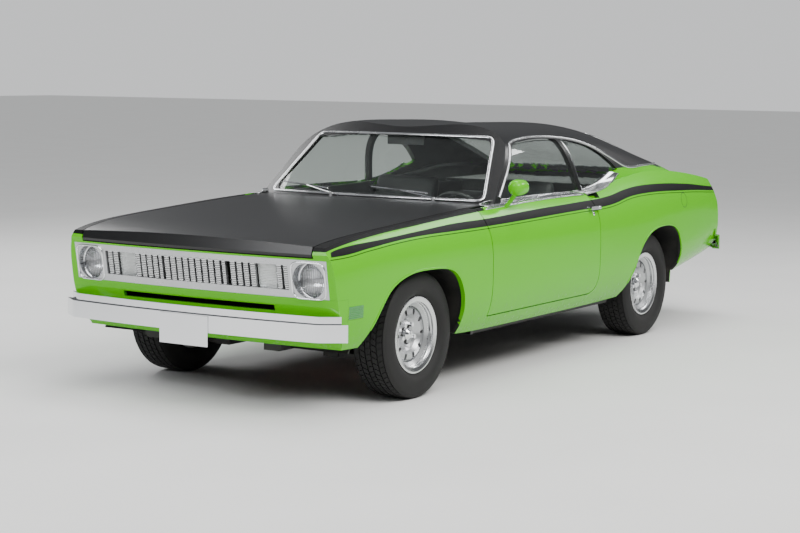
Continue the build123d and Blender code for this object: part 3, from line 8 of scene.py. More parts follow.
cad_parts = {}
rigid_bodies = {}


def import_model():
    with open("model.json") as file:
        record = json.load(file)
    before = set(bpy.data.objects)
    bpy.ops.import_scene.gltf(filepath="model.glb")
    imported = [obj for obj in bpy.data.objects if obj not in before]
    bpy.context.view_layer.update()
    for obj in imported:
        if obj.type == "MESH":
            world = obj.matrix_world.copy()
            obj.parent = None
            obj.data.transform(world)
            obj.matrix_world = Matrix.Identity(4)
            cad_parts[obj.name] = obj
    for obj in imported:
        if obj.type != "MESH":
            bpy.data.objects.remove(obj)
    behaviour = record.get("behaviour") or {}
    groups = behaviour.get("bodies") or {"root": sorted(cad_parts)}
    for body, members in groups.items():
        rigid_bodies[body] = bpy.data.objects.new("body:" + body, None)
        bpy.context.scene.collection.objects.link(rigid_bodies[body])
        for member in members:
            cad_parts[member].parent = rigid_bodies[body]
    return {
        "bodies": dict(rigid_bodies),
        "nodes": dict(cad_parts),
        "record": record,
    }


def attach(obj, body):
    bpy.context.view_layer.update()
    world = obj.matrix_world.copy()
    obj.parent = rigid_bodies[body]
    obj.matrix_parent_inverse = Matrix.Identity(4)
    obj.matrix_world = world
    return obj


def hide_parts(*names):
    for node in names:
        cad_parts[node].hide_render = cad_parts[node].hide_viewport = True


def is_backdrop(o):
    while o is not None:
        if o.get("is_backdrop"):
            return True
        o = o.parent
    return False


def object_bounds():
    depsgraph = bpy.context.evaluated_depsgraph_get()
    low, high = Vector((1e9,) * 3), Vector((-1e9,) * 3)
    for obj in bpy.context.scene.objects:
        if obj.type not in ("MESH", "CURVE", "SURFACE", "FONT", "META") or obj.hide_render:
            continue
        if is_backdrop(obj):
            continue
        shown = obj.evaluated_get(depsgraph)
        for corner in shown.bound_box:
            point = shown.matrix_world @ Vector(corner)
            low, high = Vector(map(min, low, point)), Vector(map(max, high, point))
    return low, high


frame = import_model()
nodes = frame["nodes"]
cadLow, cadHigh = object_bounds()
print("frame loaded")


def newGroup(name, inputs, outputs):  # an input without a value is a vector
    group = bpy.data.node_groups.new(name, "ShaderNodeTree")
    for socketName, value in inputs.items():
        kind = "NodeSocketVector" if value is None else "NodeSocketFloat"
        socket = group.interface.new_socket(socketName, in_out="INPUT", socket_type=kind)
        if value is not None:
            socket.default_value = value
    for socketName in outputs:
        group.interface.new_socket(socketName, in_out="OUTPUT", socket_type="NodeSocketFloat")
    start = group.nodes.new("NodeGroupInput")
    end = group.nodes.new("NodeGroupOutput")
    return group, start, end


def put(tree, value, socket):  # a plain value, a colour or a link
    if isinstance(value, (int, float)):
        socket.default_value = value
    elif isinstance(value, tuple):
        socket.default_value = (*value, 1.0)
    else:
        tree.links.new(value, socket)


def feed(tree, value, node, name):
    put(tree, value, node.inputs[name])


def mathNode(tree, operation, a, b=None):
    node = tree.nodes.new("ShaderNodeMath")
    node.operation = operation
    put(tree, a, node.inputs[0])
    if b is not None:
        put(tree, b, node.inputs[1])
    return node.outputs[0]


def multiply(tree, a, b):
    return mathNode(tree, "MULTIPLY", a, b)


def add(tree, a, b):
    return mathNode(tree, "ADD", a, b)


def subtract(tree, a, b):
    return mathNode(tree, "SUBTRACT", a, b)


def absolute(tree, a):
    return mathNode(tree, "ABSOLUTE", a)


def smoothStep(tree, value, low, high):
    node = tree.nodes.new("ShaderNodeMapRange")
    node.interpolation_type = "SMOOTHSTEP"
    feed(tree, value, node, "Value")
    feed(tree, low, node, "From Min")
    feed(tree, high, node, "From Max")
    return node.outputs["Result"]


def rowPosition(tree):
    return tree.nodes.new("ShaderNodeTexCoord").outputs["Object"]


def splitAxes(tree, vector):
    node = tree.nodes.new("ShaderNodeSeparateXYZ")
    tree.links.new(vector, node.inputs[0])
    return node.outputs[0], node.outputs[1], node.outputs[2]


def noise(tree, vector, scale, detail=3.0):
    node = tree.nodes.new("ShaderNodeTexNoise")
    feed(tree, vector, node, "Vector")
    feed(tree, scale, node, "Scale")
    feed(tree, detail, node, "Detail")
    return node.outputs["Fac"]


def mixColor(tree, factor, a, b):
    node = tree.nodes.new("ShaderNodeMix")
    node.data_type = "RGBA"
    feed(tree, factor, node, "Factor")
    for key, value in (("A", a), ("B", b)):
        socket = [s for s in node.inputs if s.name == key and s.type == "RGBA"][0]
        put(tree, value, socket)
    return [s for s in node.outputs if s.type == "RGBA"][0]


def newMaterial(name):
    material = bpy.data.materials.new(name)
    material.use_nodes = True
    tree = material.node_tree
    shader = tree.nodes["Principled BSDF"]
    return material, tree, shader


def bumpFrom(tree, height, strength, distance):
    node = tree.nodes.new("ShaderNodeBump")
    feed(tree, strength, node, "Strength")
    feed(tree, distance, node, "Distance")
    feed(tree, height, node, "Height")
    return node.outputs["Normal"]


lineRange = {"xLow": -2.42, "xHigh": 2.42, "zLow": 0.7, "zHigh": 1.1}
sideLines = {  # heights along the car, in side view
    "stripeTop": [(-2.4, 0.884), (-2.195, 0.901), (-1.693, 0.944), (-1.289, 0.962), (-1.034, 0.961),
                  (-0.886, 0.952), (-0.553, 0.918), (-0.189, 0.908), (0.318, 0.899), (0.911, 0.883),
                  (1.182, 0.881), (1.504, 0.867), (1.809, 0.851), (2.198, 0.829), (2.303, 0.791)],
    "stripeLow": [(-2.4, 0.861), (-2.271, 0.868), (-1.696, 0.899), (-1.036, 0.912), (-0.531, 0.867),
                  (-0.191, 0.863), (0.87, 0.845), (1.181, 0.843), (1.607, 0.839), (2.002, 0.813),
                  (2.189, 0.794), (2.26, 0.791)],
    "blackTop": [(0.7, 0.93), (1.15, 0.913), (1.516, 0.894), (1.9, 0.871), (2.2, 0.838), (2.4, 0.785)],
}
stripeEnds = {"nose": 2.303, "tail": -2.2, "tailHalf": 0.775, "inner": 0.6, "hoodRear": 0.852,
              "edge": 0.0012, "pinDrop": 0.009, "pinWidth": 0.0055}


def addLine(tree, xValue, points):
    r = lineRange
    length, height = r["xHigh"] - r["xLow"], r["zHigh"] - r["zLow"]
    scaled = mathNode(tree, "DIVIDE", subtract(tree, xValue, r["xLow"]), length)
    node = tree.nodes.new("ShaderNodeFloatCurve")
    curve = node.mapping.curves[0]
    places = [((x - r["xLow"]) / length, (z - r["zLow"]) / height) for x, z in points]
    curve.points[0].location = places[0]
    curve.points[1].location = places[-1]
    for place in places[1:-1]:
        curve.points.new(*place)
    node.mapping.update()
    feed(tree, scaled, node, "Value")
    return add(tree, multiply(tree, node.outputs[0], height), r["zLow"])


def makeStripeGroup():
    group, start, end = newGroup("sideStripe", {"Position": None}, ("Stripe", "Top"))
    x, y, z = splitAxes(group, start.outputs[0])
    ends = stripeEnds
    soft = ends["edge"]
    high = addLine(group, x, sideLines["stripeTop"])
    low = addLine(group, x, sideLines["stripeLow"])
    over = addLine(group, x, sideLines["blackTop"])
    below = smoothStep(group, subtract(group, high, z), -soft, soft)
    above = smoothStep(group, subtract(group, z, low), -soft, soft)
    band = multiply(group, below, above)
    drop = subtract(group, subtract(group, low, z), ends["pinDrop"])  # thin line under the stripe
    thin = multiply(group, smoothStep(group, drop, 0.0, 0.0015),
                    smoothStep(group, drop, ends["pinWidth"], ends["pinWidth"] - 0.0015))
    outward = smoothStep(group, absolute(group, y), ends["inner"], ends["inner"] + 0.005)
    tip = smoothStep(group, x, ends["nose"], ends["nose"] - 0.005)
    corner = mathNode(group, "MAXIMUM", smoothStep(group, x, ends["tail"], ends["tail"] + 0.005),
                      smoothStep(group, absolute(group, y), ends["tailHalf"], ends["tailHalf"] + 0.003))
    tip = multiply(group, tip, corner)
    both = mathNode(group, "MAXIMUM", band, thin)
    both = multiply(group, multiply(group, both, outward), tip)
    ahead = smoothStep(group, x, ends["hoodRear"], ends["hoodRear"] + 0.004)
    top = multiply(group, smoothStep(group, subtract(group, z, over), -soft, soft), ahead)
    feed(group, both, end, "Stripe")
    feed(group, top, end, "Top")
    return group


def makePaintGroup():
    group, start, end = newGroup("paintFilm", {"Position": None, "Dust": 0.2}, ("Peel", "Dust"))
    peel = noise(group, start.outputs[0], 260.0, 2.0)
    wave = noise(group, start.outputs[0], 9.0, 1.0)
    height = add(group, multiply(group, peel, 0.25), wave)
    _, _, z = splitAxes(group, start.outputs[0])
    low = smoothStep(group, z, 0.55, 0.2)
    specks = smoothStep(group, noise(group, start.outputs[0], 40.0, 6.0), 0.45, 0.75)
    dust = multiply(group, multiply(group, specks, add(group, low, 0.08)), start.outputs[1])
    feed(group, height, end, "Peel")
    feed(group, dust, end, "Dust")
    return group


def makeGrainGroup():
    group, start, end = newGroup("leatherGrain", {"Position": None, "Scale": 300.0}, ("Height", "Wear"))
    cells = group.nodes.new("ShaderNodeTexVoronoi")
    cells.feature = "DISTANCE_TO_EDGE"
    group.links.new(start.outputs[0], cells.inputs["Vector"])
    group.links.new(start.outputs[1], cells.inputs["Scale"])
    grain = smoothStep(group, cells.outputs["Distance"], 0.0, 0.12)
    wear = smoothStep(group, noise(group, start.outputs[0], 7.0, 4.0), 0.35, 0.75)
    feed(group, grain, end, "Height")
    feed(group, wear, end, "Wear")
    return group


def makeSmudgeGroup():
    inputs = {"Position": None, "Low": 0.05, "High": 0.18}
    group, start, end = newGroup("metalSmudge", inputs, ("Roughness", "Fine"))
    cloud = smoothStep(group, noise(group, start.outputs[0], 6.0, 5.0), 0.35, 0.7)
    span = subtract(group, start.outputs[2], start.outputs[1])
    rough = add(group, multiply(group, cloud, span), start.outputs[1])
    fine = noise(group, start.outputs[0], 700.0, 2.0)
    feed(group, rough, end, "Roughness")
    feed(group, fine, end, "Fine")
    return group


stripeGroup = makeStripeGroup()
paintGroup = makePaintGroup()
grainGroup = makeGrainGroup()
smudgeGroup = makeSmudgeGroup()


def useGroup(tree, group, **values):
    node = tree.nodes.new("ShaderNodeGroup")
    node.node_tree = group
    tree.links.new(rowPosition(tree), node.inputs["Position"])
    for key, value in values.items():
        node.inputs[key].default_value = value
    return node


paint = {"green": (0.09, 0.47, 0.0), "black": (0.004, 0.004, 0.0045), "dust": (0.16, 0.155, 0.14),
         "peel": 0.03, "peelDepth": 0.002,
         "greenRough": 0.22, "stripeRougher": 0.25, "greenSpecular": 0.14, "greenCoat": 0.2,
         "greenCoatRough": 0.03,
         "blackRough": 0.34, "blackSpecular": 0.35, "blackCoat": 0.25, "blackCoatRough": 0.2}


def makeGreenPaint():
    material, tree, shader = newMaterial("greenPaint")
    film = useGroup(tree, paintGroup, Dust=0.25)
    stripe = useGroup(tree, stripeGroup)
    mask = mathNode(tree, "MAXIMUM", stripe.outputs["Stripe"], stripe.outputs["Top"])
    shade = mixColor(tree, mask, paint["green"], paint["black"])
    feed(tree, mixColor(tree, film.outputs["Dust"], shade, paint["dust"]), shader, "Base Color")
    rough = add(tree, multiply(tree, mask, paint["stripeRougher"]), paint["greenRough"])
    feed(tree, add(tree, rough, multiply(tree, film.outputs["Dust"], 0.5)), shader, "Roughness")
    feed(tree, bumpFrom(tree, film.outputs["Peel"], paint["peel"], paint["peelDepth"]), shader, "Normal")
    feed(tree, paint["greenSpecular"], shader, "Specular IOR Level")
    plain = subtract(tree, 1.0, mask)
    feed(tree, multiply(tree, plain, paint["greenCoat"]), shader, "Coat Weight")
    feed(tree, paint["greenCoatRough"], shader, "Coat Roughness")
    return material


def makeBlackPaint():
    material, tree, shader = newMaterial("blackPaint")
    film = useGroup(tree, paintGroup, Dust=0.15)
    feed(tree, mixColor(tree, film.outputs["Dust"], paint["black"], paint["dust"]), shader, "Base Color")
    rough = add(tree, paint["blackRough"], multiply(tree, film.outputs["Dust"], 0.4))
    feed(tree, rough, shader, "Roughness")
    feed(tree, bumpFrom(tree, film.outputs["Peel"], paint["peel"], paint["peelDepth"]), shader, "Normal")
    feed(tree, paint["blackSpecular"], shader, "Specular IOR Level")
    feed(tree, paint["blackCoat"], shader, "Coat Weight")
    feed(tree, paint["blackCoatRough"], shader, "Coat Roughness")
    return material


def makeMetal(name, color, low, high, bump=0.03, metallic=1.0):
    material, tree, shader = newMaterial(name)
    smudge = useGroup(tree, smudgeGroup, Low=low, High=high)
    feed(tree, metallic, shader, "Metallic")
    tint = mixColor(tree, multiply(tree, smudge.outputs["Fine"], 0.25), color,
                    tuple(c * 0.8 for c in color))
    feed(tree, tint, shader, "Base Color")
    feed(tree, smudge.outputs["Roughness"], shader, "Roughness")
    feed(tree, bumpFrom(tree, smudge.outputs["Fine"], bump, 0.001), shader, "Normal")
    return material


def makeSoft(name, color, worn, scale, rough, strength=0.25, sheen=0.0):
    material, tree, shader = newMaterial(name)
    grain = useGroup(tree, grainGroup, Scale=scale)
    feed(tree, mixColor(tree, grain.outputs["Wear"], color, worn), shader, "Base Color")
    feed(tree, add(tree, rough, multiply(tree, grain.outputs["Wear"], 0.12)), shader, "Roughness")
    feed(tree, bumpFrom(tree, grain.outputs["Height"], strength, 0.0008), shader, "Normal")
    feed(tree, sheen, shader, "Sheen Weight")
    return material


def makeGlass(name, color, shadow):
    material, tree, shader = newMaterial(name)
    smudge = useGroup(tree, smudgeGroup, Low=0.0, High=0.03)
    feed(tree, color, shader, "Base Color")
    feed(tree, 1.0, shader, "Transmission Weight")
    feed(tree, 1.45, shader, "IOR")
    feed(tree, smudge.outputs["Roughness"], shader, "Roughness")
    lit = tree.nodes.new("ShaderNodeBsdfTransparent")
    feed(tree, tuple(c * shadow for c in color), lit, "Color")
    path = tree.nodes.new("ShaderNodeLightPath")
    mix = tree.nodes.new("ShaderNodeMixShader")
    feed(tree, path.outputs["Is Shadow Ray"], mix, "Fac")
    tree.links.new(shader.outputs[0], mix.inputs[1])
    tree.links.new(lit.outputs[0], mix.inputs[2])
    tree.links.new(mix.outputs[0], tree.nodes["Material Output"].inputs["Surface"])
    return material


def makeFluted(name, color, axis, pitch, rough, transmission):
    material, tree, shader = newMaterial(name)
    parts = splitAxes(tree, rowPosition(tree))
    wave = mathNode(tree, "SINE", multiply(tree, parts[axis], 2 * math.pi / pitch))
    fine = noise(tree, rowPosition(tree), 90.0, 2.0)
    height = add(tree, wave, multiply(tree, fine, 0.3))
    feed(tree, bumpFrom(tree, height, 0.5, 0.002), shader, "Normal")
    shade = mixColor(tree, fine, color, tuple(c * 0.86 for c in color))
    feed(tree, shade, shader, "Base Color")
    feed(tree, rough, shader, "Roughness")
    feed(tree, transmission, shader, "Transmission Weight")
    feed(tree, 0.6, shader, "Coat Weight")
    return material


greenPaint = makeGreenPaint()
blackPaint = makeBlackPaint()
chrome = makeMetal("chromePlate", (0.83, 0.84, 0.86), 0.045, 0.13, 0.01)
brightTrim = makeMetal("brightTrim", (0.72, 0.73, 0.74), 0.18, 0.3, 0.02)
grilleMetal = makeMetal("grilleSilver", (0.56, 0.57, 0.58), 0.22, 0.36, 0.04, 0.85)


def makeSlotted(name, color, pitch, share):  # bright ribs with fine dark slots pressed across them
    material, tree, shader = newMaterial(name)
    smudge = useGroup(tree, smudgeGroup, Low=0.14, High=0.26)
    _, _, z = splitAxes(tree, rowPosition(tree))
    saw = mathNode(tree, "FRACT", mathNode(tree, "DIVIDE", z, pitch))
    slot = multiply(tree, smoothStep(tree, saw, 0.5 - share / 2 - 0.06, 0.5 - share / 2),
                    smoothStep(tree, saw, 0.5 + share / 2 + 0.06, 0.5 + share / 2))
    feed(tree, mixColor(tree, slot, color, (0.01, 0.01, 0.01)), shader, "Base Color")
    feed(tree, add(tree, smudge.outputs["Roughness"], multiply(tree, slot, 0.5)), shader, "Roughness")
    feed(tree, subtract(tree, 1.0, slot), shader, "Metallic")
    feed(tree, bumpFrom(tree, subtract(tree, 1.0, slot), 0.8, 0.002), shader, "Normal")
    return material


ribMetal = makeSlotted("ribSilver", (0.66, 0.67, 0.68), 0.0092, 0.3)
wheelSilver = makeMetal("wheelSilver", (0.5, 0.51, 0.52), 0.28, 0.42, 0.05, 0.8)
chassisBlack = makeSoft("chassisBlack", (0.013, 0.013, 0.013), (0.035, 0.032, 0.028), 60.0, 0.55, 0.3)
ironCast = makeSoft("ironCast", (0.06, 0.06, 0.062), (0.12, 0.09, 0.07), 120.0, 0.6, 0.5)
engineOrange = makeSoft("enginePaint", (0.35, 0.06, 0.015), (0.22, 0.05, 0.02), 90.0, 0.4, 0.3)
pipeSteel = makeMetal("pipeSteel", (0.33, 0.31, 0.29), 0.35, 0.6, 0.15)
blackVinyl = makeSoft("blackVinyl", (0.012, 0.012, 0.013), (0.02, 0.02, 0.021), 420.0, 0.42, 0.35)
blackPlastic = makeSoft("blackPlastic", (0.012, 0.012, 0.012), (0.02, 0.02, 0.02), 700.0, 0.5, 0.2)
carpet = makeSoft("blackCarpet", (0.01, 0.01, 0.011), (0.02, 0.02, 0.02), 900.0, 0.95, 0.8, 0.3)
rubber = makeSoft("tyreRubber", (0.004, 0.004, 0.004), (0.011, 0.0105, 0.01), 160.0, 0.72, 0.12)
rubberSeal = makeSoft("rubberSeal", (0.008, 0.008, 0.008), (0.016, 0.016, 0.016), 300.0, 0.7, 0.1)
paneGlass = makeGlass("paneGlass", (0.86, 0.91, 0.88), 0.85)
lensGlass = makeFluted("lensGlass", (0.95, 0.96, 0.97), 1, 0.011, 0.03, 0.92)
parkingLens = makeFluted("parkingLens", (0.9, 0.93, 0.9), 2, 0.008, 0.06, 0.7)
redLens = makeFluted("redLens", (0.32, 0.002, 0.002), 1, 0.012, 0.15, 0.05)
markerLens = makeFluted("markerLens", (0.02, 0.28, 0.03), 2, 0.009, 0.15, 0.1)
plateWhite = makeSoft("plateWhite", (0.78, 0.78, 0.77), (0.68, 0.68, 0.66), 50.0, 0.4, 0.05)
print("materials made")

slotMaterials = {"body_green": greenPaint, "body_black": blackPaint, "tinted_glass": paneGlass,
                 "red_lens": redLens, "clear_lens": lensGlass, "grille_silver": grilleMetal,
                 "bright_chrome": chrome,
                 "chassis_black": chassisBlack, "engine_iron": engineOrange, "pipe_steel": pipeSteel,
                 "black_vinyl": blackVinyl, "black_plastic": blackPlastic, "tyre_rubber": rubber,
                 "wheel_silver": wheelSilver, "axle_iron": ironCast}
slotOf = {entry["node"]: entry["material_slot"] for entry in frame["record"]["subparts"]}


def paintNode(name, materials, pick=None):
    mesh = nodes[name].data
    mesh.materials.clear()
    for material in materials:
        mesh.materials.append(material)
    for polygon in mesh.polygons:
        polygon.material_index = pick(polygon) if pick else 0
        polygon.use_smooth = True


for nodeName, slotName in slotOf.items():
    paintNode(nodeName, [slotMaterials[slotName]])


def bodyName(node):
    return [name for name, empty in frame["bodies"].items() if nodes[node].parent is empty][0]


def treeOf(*names):
    mesh = bmesh.new()
    for name in names:
        mesh.from_mesh(nodes[name].data)
    tree = BVHTree.FromBMesh(mesh)
    mesh.free()
    return tree


def smoothPath(points, steps):  # a Catmull-Rom curve through the points
    ends = [points[0]] + list(points) + [points[-1]]
    line = []
    for a, b, c, d in zip(ends, ends[1:], ends[2:], ends[3:]):
        for i in range(steps):
            t = i / steps
            line.append(tuple(0.5 * (2 * q + (r - p) * t + (2 * p - 5 * q + 4 * r - s) * t * t
                                     + (3 * q - p - 3 * r + s) * t ** 3) for p, q, r, s in zip(a, b, c, d)))
    line.append(tuple(points[-1]))
    return line


def newObject(name, data):
    obj = bpy.data.objects.new(name, data)
    bpy.context.scene.collection.objects.link(obj)
    return obj


def splitEdges(obj):
    obj.modifiers.new("edges", "EDGE_SPLIT").split_angle = math.radians(38)


def makeObject(name, verts, faces, material, body, smooth=True):
    mesh = bpy.data.meshes.new(name)
    mesh.from_pydata([tuple(v) for v in verts], [], faces)
    work = bmesh.new()
    work.from_mesh(mesh)
    bmesh.ops.remove_doubles(work, verts=work.verts, dist=1e-6)
    bmesh.ops.recalc_face_normals(work, faces=work.faces)
    work.to_mesh(mesh)
    work.free()
    mesh.materials.append(material)
    obj = newObject(name, mesh)
    if smooth:
        mesh.shade_smooth()
        splitEdges(obj)
    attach(obj, body)
    return obj


def mirrored(obj, name, body):  # the same piece on the right-hand side
    mesh = obj.data.copy()
    mesh.transform(Matrix.Scale(-1, 4, (0, 1, 0)))
    mesh.flip_normals()
    other = newObject(name, mesh)
    if "edges" in obj.modifiers:
        splitEdges(other)
    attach(other, body)
    return other


def strip(name, path, profile, material, body, closed=False):  # one section along points with their normals
    verts, faces = [], []
    count, width = len(path), len(profile)
    for i, (point, outward) in enumerate(path):
        before = path[(i - 1) % count][0] if closed or i else point
        after = path[(i + 1) % count][0] if closed or i < count - 1 else point
        along = (after - before).normalized()
        out = (outward - along * outward.dot(along)).normalized()
        across = along.cross(out)
        verts += [point + across * u + out * v for u, v in profile]
    for i in range(count if closed else count - 1):
        j = (i + 1) % count
        for m in range(width):
            q = (m + 1) % width
            faces.append((i * width + m, i * width + q, j * width + q, j * width + m))
    if not closed:
        faces.append(tuple(range(width)))
        faces.append(tuple(range((count - 1) * width, count * width)))
    return makeObject(name, verts, faces, material, body)


def crowned(width, height, sink=0.001):
    w = width / 2
    half = [(w * 0.35, height), (w * 0.75, height * 0.82), (w, height * 0.45), (w, -sink)]
    return [(-u, v) for u, v in reversed(half)] + half


def lathe(name, centre, axis, profile, steps, material, body):  # profile: radius and distance along the axis
    axis = Vector(axis).normalized()
    side = axis.orthogonal().normalized()
    other = axis.cross(side)
    verts, faces = [], []
    width = len(profile)
    for i in range(steps):
        angle = 2 * math.pi * i / steps
        ray = side * math.cos(angle) + other * math.sin(angle)
        verts += [Vector(centre) + ray * r + axis * d for r, d in profile]
    for i in range(steps):
        j = (i + 1) % steps
        for m in range(width):
            q = (m + 1) % width
            faces.append((i * width + m, i * width + q, j * width + q, j * width + m))
    return makeObject(name, verts, faces, material, body)


def brick(name, low, high, material, body, round):
    verts = [(x, y, z) for x in (low[0], high[0]) for y in (low[1], high[1]) for z in (low[2], high[2])]
    faces = [(0, 1, 3, 2), (4, 6, 7, 5), (0, 4, 5, 1), (2, 3, 7, 6), (0, 2, 6, 4), (1, 5, 7, 3)]
    obj = makeObject(name, verts, faces, material, body, smooth=False)
    bevel = obj.modifiers.new("bevel", "BEVEL")
    bevel.width = round
    bevel.segments = 3
    return obj


shellTree = treeOf("fender_left", "fender_right", "door_left", "door_right", "quarter_left", "quarter_right",
                   "roof", "hood", "deck_lid", "firewall_cowl", "rear_shelf", "front_panel", "tail_panel",
                   "grille", "fixed_glass", "door_glass_left", "door_glass_right", "floor_pan")


def facesOut(polygon):  # seen from outside, or an edge in a shut line
    n = polygon.normal
    tilt = n.orthogonal() * 0.12
    for direction in (n, n + tilt, n - tilt):
        hit, _, _, distance = shellTree.ray_cast(polygon.center + n * 0.001, direction.normalized(), 5.0)
        if hit is not None and distance > 0.05:
            return False
    return True


def pickOuter(polygon):
    return 0 if facesOut(polygon) else 1


def pickQuarter(polygon):
    c = polygon.center
    if math.hypot(c.x + 1.2265, c.z - 0.328) < 0.53 and (abs(c.y) < 0.8 or abs(polygon.normal.y) < 0.5):
        return 2
    if abs(c.y) < 0.735 and -1.6 < c.x < -0.3 and c.z > 0.5:
        return 1
    if facesOut(polygon):
        return 0
    return 1 if -1.7 < c.x and c.z > 0.3 else 2


def pickRoof(polygon):
    c, n = polygon.center, polygon.normal
    if abs(c.y) < 0.13 and 0.34 < c.x < 0.37 and c.z < 1.29:
        return 3 if n.x < -0.8 else 2
    return 0 if facesOut(polygon) and n.z > -0.3 else 1


def pickFloor(polygon):
    c, n = polygon.center, polygon.normal
    return 1 if n.z > 0.2 and -1.3 < c.x < 0.86 and abs(c.y) < 0.7 else 0


def pickShelf(polygon):
    return 0 if facesOut(polygon) and polygon.center.x < -1.75 else 1


def pickRim(centreX, centreY):
    def pick(polygon):
        c = polygon.center
        radius = math.hypot(c.x - centreX, c.z - 0.328)
        out = (abs(c.y) - centreY)
        if radius > 0.165 and out > 0.045:
            return 1
        if 0.043 < radius < 0.071 and out > 0.017:
            return 2
        if radius < 0.035 and out > 0.02:
            return 2
        return 3 if radius < 0.045 and out > 0 else 0
    return pick


wheelPlaces = {"front": (1.5165, 0.729), "rear": (-1.2265, 0.718)}  # axle and half track
mirrorGlass = makeMetal("mirrorGlass", (0.8, 0.82, 0.83), 0.01, 0.03, 0.0)
for sideName in ("left", "right"):
    paintNode("door_" + sideName, [greenPaint, blackVinyl], pickOuter)
    paintNode("fender_" + sideName, [greenPaint, chassisBlack], pickOuter)
    paintNode("quarter_" + sideName, [greenPaint, blackVinyl, chassisBlack], pickQuarter)
    for endName, (axleX, trackY) in wheelPlaces.items():
        paintNode("rim_%s_%s" % (endName, sideName), [wheelSilver, brightTrim, chrome, chassisBlack],
                  pickRim(axleX, trackY))
paintNode("roof", [blackPaint, blackVinyl, blackPlastic, mirrorGlass], pickRoof)
paintNode("floor_pan", [chassisBlack, carpet], pickFloor)
paintNode("rear_shelf", [greenPaint, carpet], pickShelf)
paintNode("firewall_cowl", [blackPaint, chassisBlack], pickOuter)


def pickMirror(polygon):
    c = polygon.center
    return 1 if c.z > 0.895 and c.x > 0.5 else 0


def pickGrille(polygon):
    c, n = polygon.center, polygon.normal
    if n.x > 0.4 and abs(c.y) < 0.575 and 0.6205 < c.z < 0.7385:
        return 1
    return 2 if c.x < 2.25 and abs(n.x) < 0.5 or n.x < -0.5 else 0


paintNode("door_fittings_left", [chrome, greenPaint], pickMirror)
paintNode("grille", [grilleMetal, ribMetal, blackPlastic], pickGrille)
print("CAD pieces painted")

leftSide = treeOf("fender_left", "door_left", "quarter_left", "roof", "door_glass_left", "fixed_glass",
                  "firewall_cowl")
topSide = treeOf("roof", "quarter_left", "quarter_right", "rear_shelf", "fixed_glass", "deck_lid", "hood",
                 "firewall_cowl")


def sideHit(x, z):  # nearest surface seen from the left, from a little lower where a gap lets the ray through
    for shift in range(14):
        for dx in (0, 0.006, -0.006, 0.012, -0.012):
            start = Vector((x + dx, 1.3, z - 0.003 * shift))
            hit, normal, _, _ = leftSide.ray_cast(start, Vector((0, -1, 0)))
            if hit is not None and hit.y > 0.45:
                return Vector((x, hit.y, z)), normal if normal.y > 0 else -normal
    raise RuntimeError("no surface at x %.3f z %.3f" % (x, z))


def topHit(x, y):
    hit, normal, _, _ = topSide.ray_cast(Vector((x, y, 2.0)), Vector((0, 0, -1)))
    return hit, normal if normal.z > 0 else -normal


def noseX(y, z):  # the bowed face of the lamp and grille band
    return 2.31 + 0.03 * (z - 0.585) / 0.185 - 0.058 * y * y


belt = {"low": [(0.84, 0.926), (0.49, 0.936), (0.035, 0.944), (-0.42, 0.947), (-0.71, 0.981),
                (-0.905, 1.042)],
        "high": [(0.72, 0.966), (0.43, 0.969), (0.1, 0.97), (-0.345, 0.969), (-0.595, 1.003), (-0.79, 1.06)],
        "doorRear": -0.352, "gap": 0.004, "proud": 0.0035, "thick": 0.0025, "steps": 14, "across": 6}


def beltGrid(low, high):  # distances off the centreline, evened out along the car
    across = belt["across"]
    rows = []
    for (x0, z0), (x1, z1) in zip(low, high):
        line = []
        for k in range(across + 1):
            t = k / across
            x, z = x0 + (x1 - x0) * t, z0 + (z1 - z0) * t
            line.append((x, sideHit(x, z)[0].y, z))
        rows.append(line)
    for k in range(across + 1):
        ys = [row[k][1] for row in rows]
        ys = [max(ys[max(i - 2, 0):i + 3]) for i in range(len(ys))]
        for _ in range(6):
            near = [ys[max(i - 3, 0):i + 4] for i in range(len(ys))]
            ys = [sum(part) / len(part) for part in near]
        for i, row in enumerate(rows):
            row[k] = (row[k][0], ys[i], row[k][2])
    return rows


def thicken(obj, offset):
    thick = obj.modifiers.new("thick", "SOLIDIFY")
    thick.thickness, thick.offset = belt["thick"], offset


def beltPiece(name, rows, body):
    verts, faces = [], []
    across = belt["across"]
    for row in rows:
        for k, (x, y, z) in enumerate(row):
            bulge = belt["proud"] * (0.4 + 0.6 * math.sin(math.pi * k / across))
            verts.append(Vector((x, y, z)) + Vector((0, 0.85, 0.52)) * bulge)
    for i in range(len(rows) - 1):
        for k in range(across):
            p = i * (across + 1) + k
            faces.append((p, p + 1, p + across + 2, p + across + 1))
    obj = makeObject(name, verts, faces, brightTrim, body)
    thicken(obj, 1 if obj.data.polygons[0].normal.y < 0 else -1)
    return obj


lowLine = smoothPath(belt["low"], belt["steps"])
highLine = smoothPath(belt["high"], belt["steps"])
rows = beltGrid(lowLine, highLine)
doorRows = [row for row in rows if row[0][0] > belt["doorRear"] + belt["gap"]]
rearRows = [row for row in rows if row[0][0] < belt["doorRear"] - belt["gap"]]
beltDoor = beltPiece("belt_moulding_door_left", doorRows, "door_left")
beltRear = beltPiece("belt_moulding_rear_left", rearRows, "body")
for obj, name, body in ((beltDoor, "belt_moulding_door_right", "door_right"),
                        (beltRear, "belt_moulding_rear_right", "body")):
    thicken(mirrored(obj, name, body), obj.modifiers["thick"].offset)
print("belt moulding made")

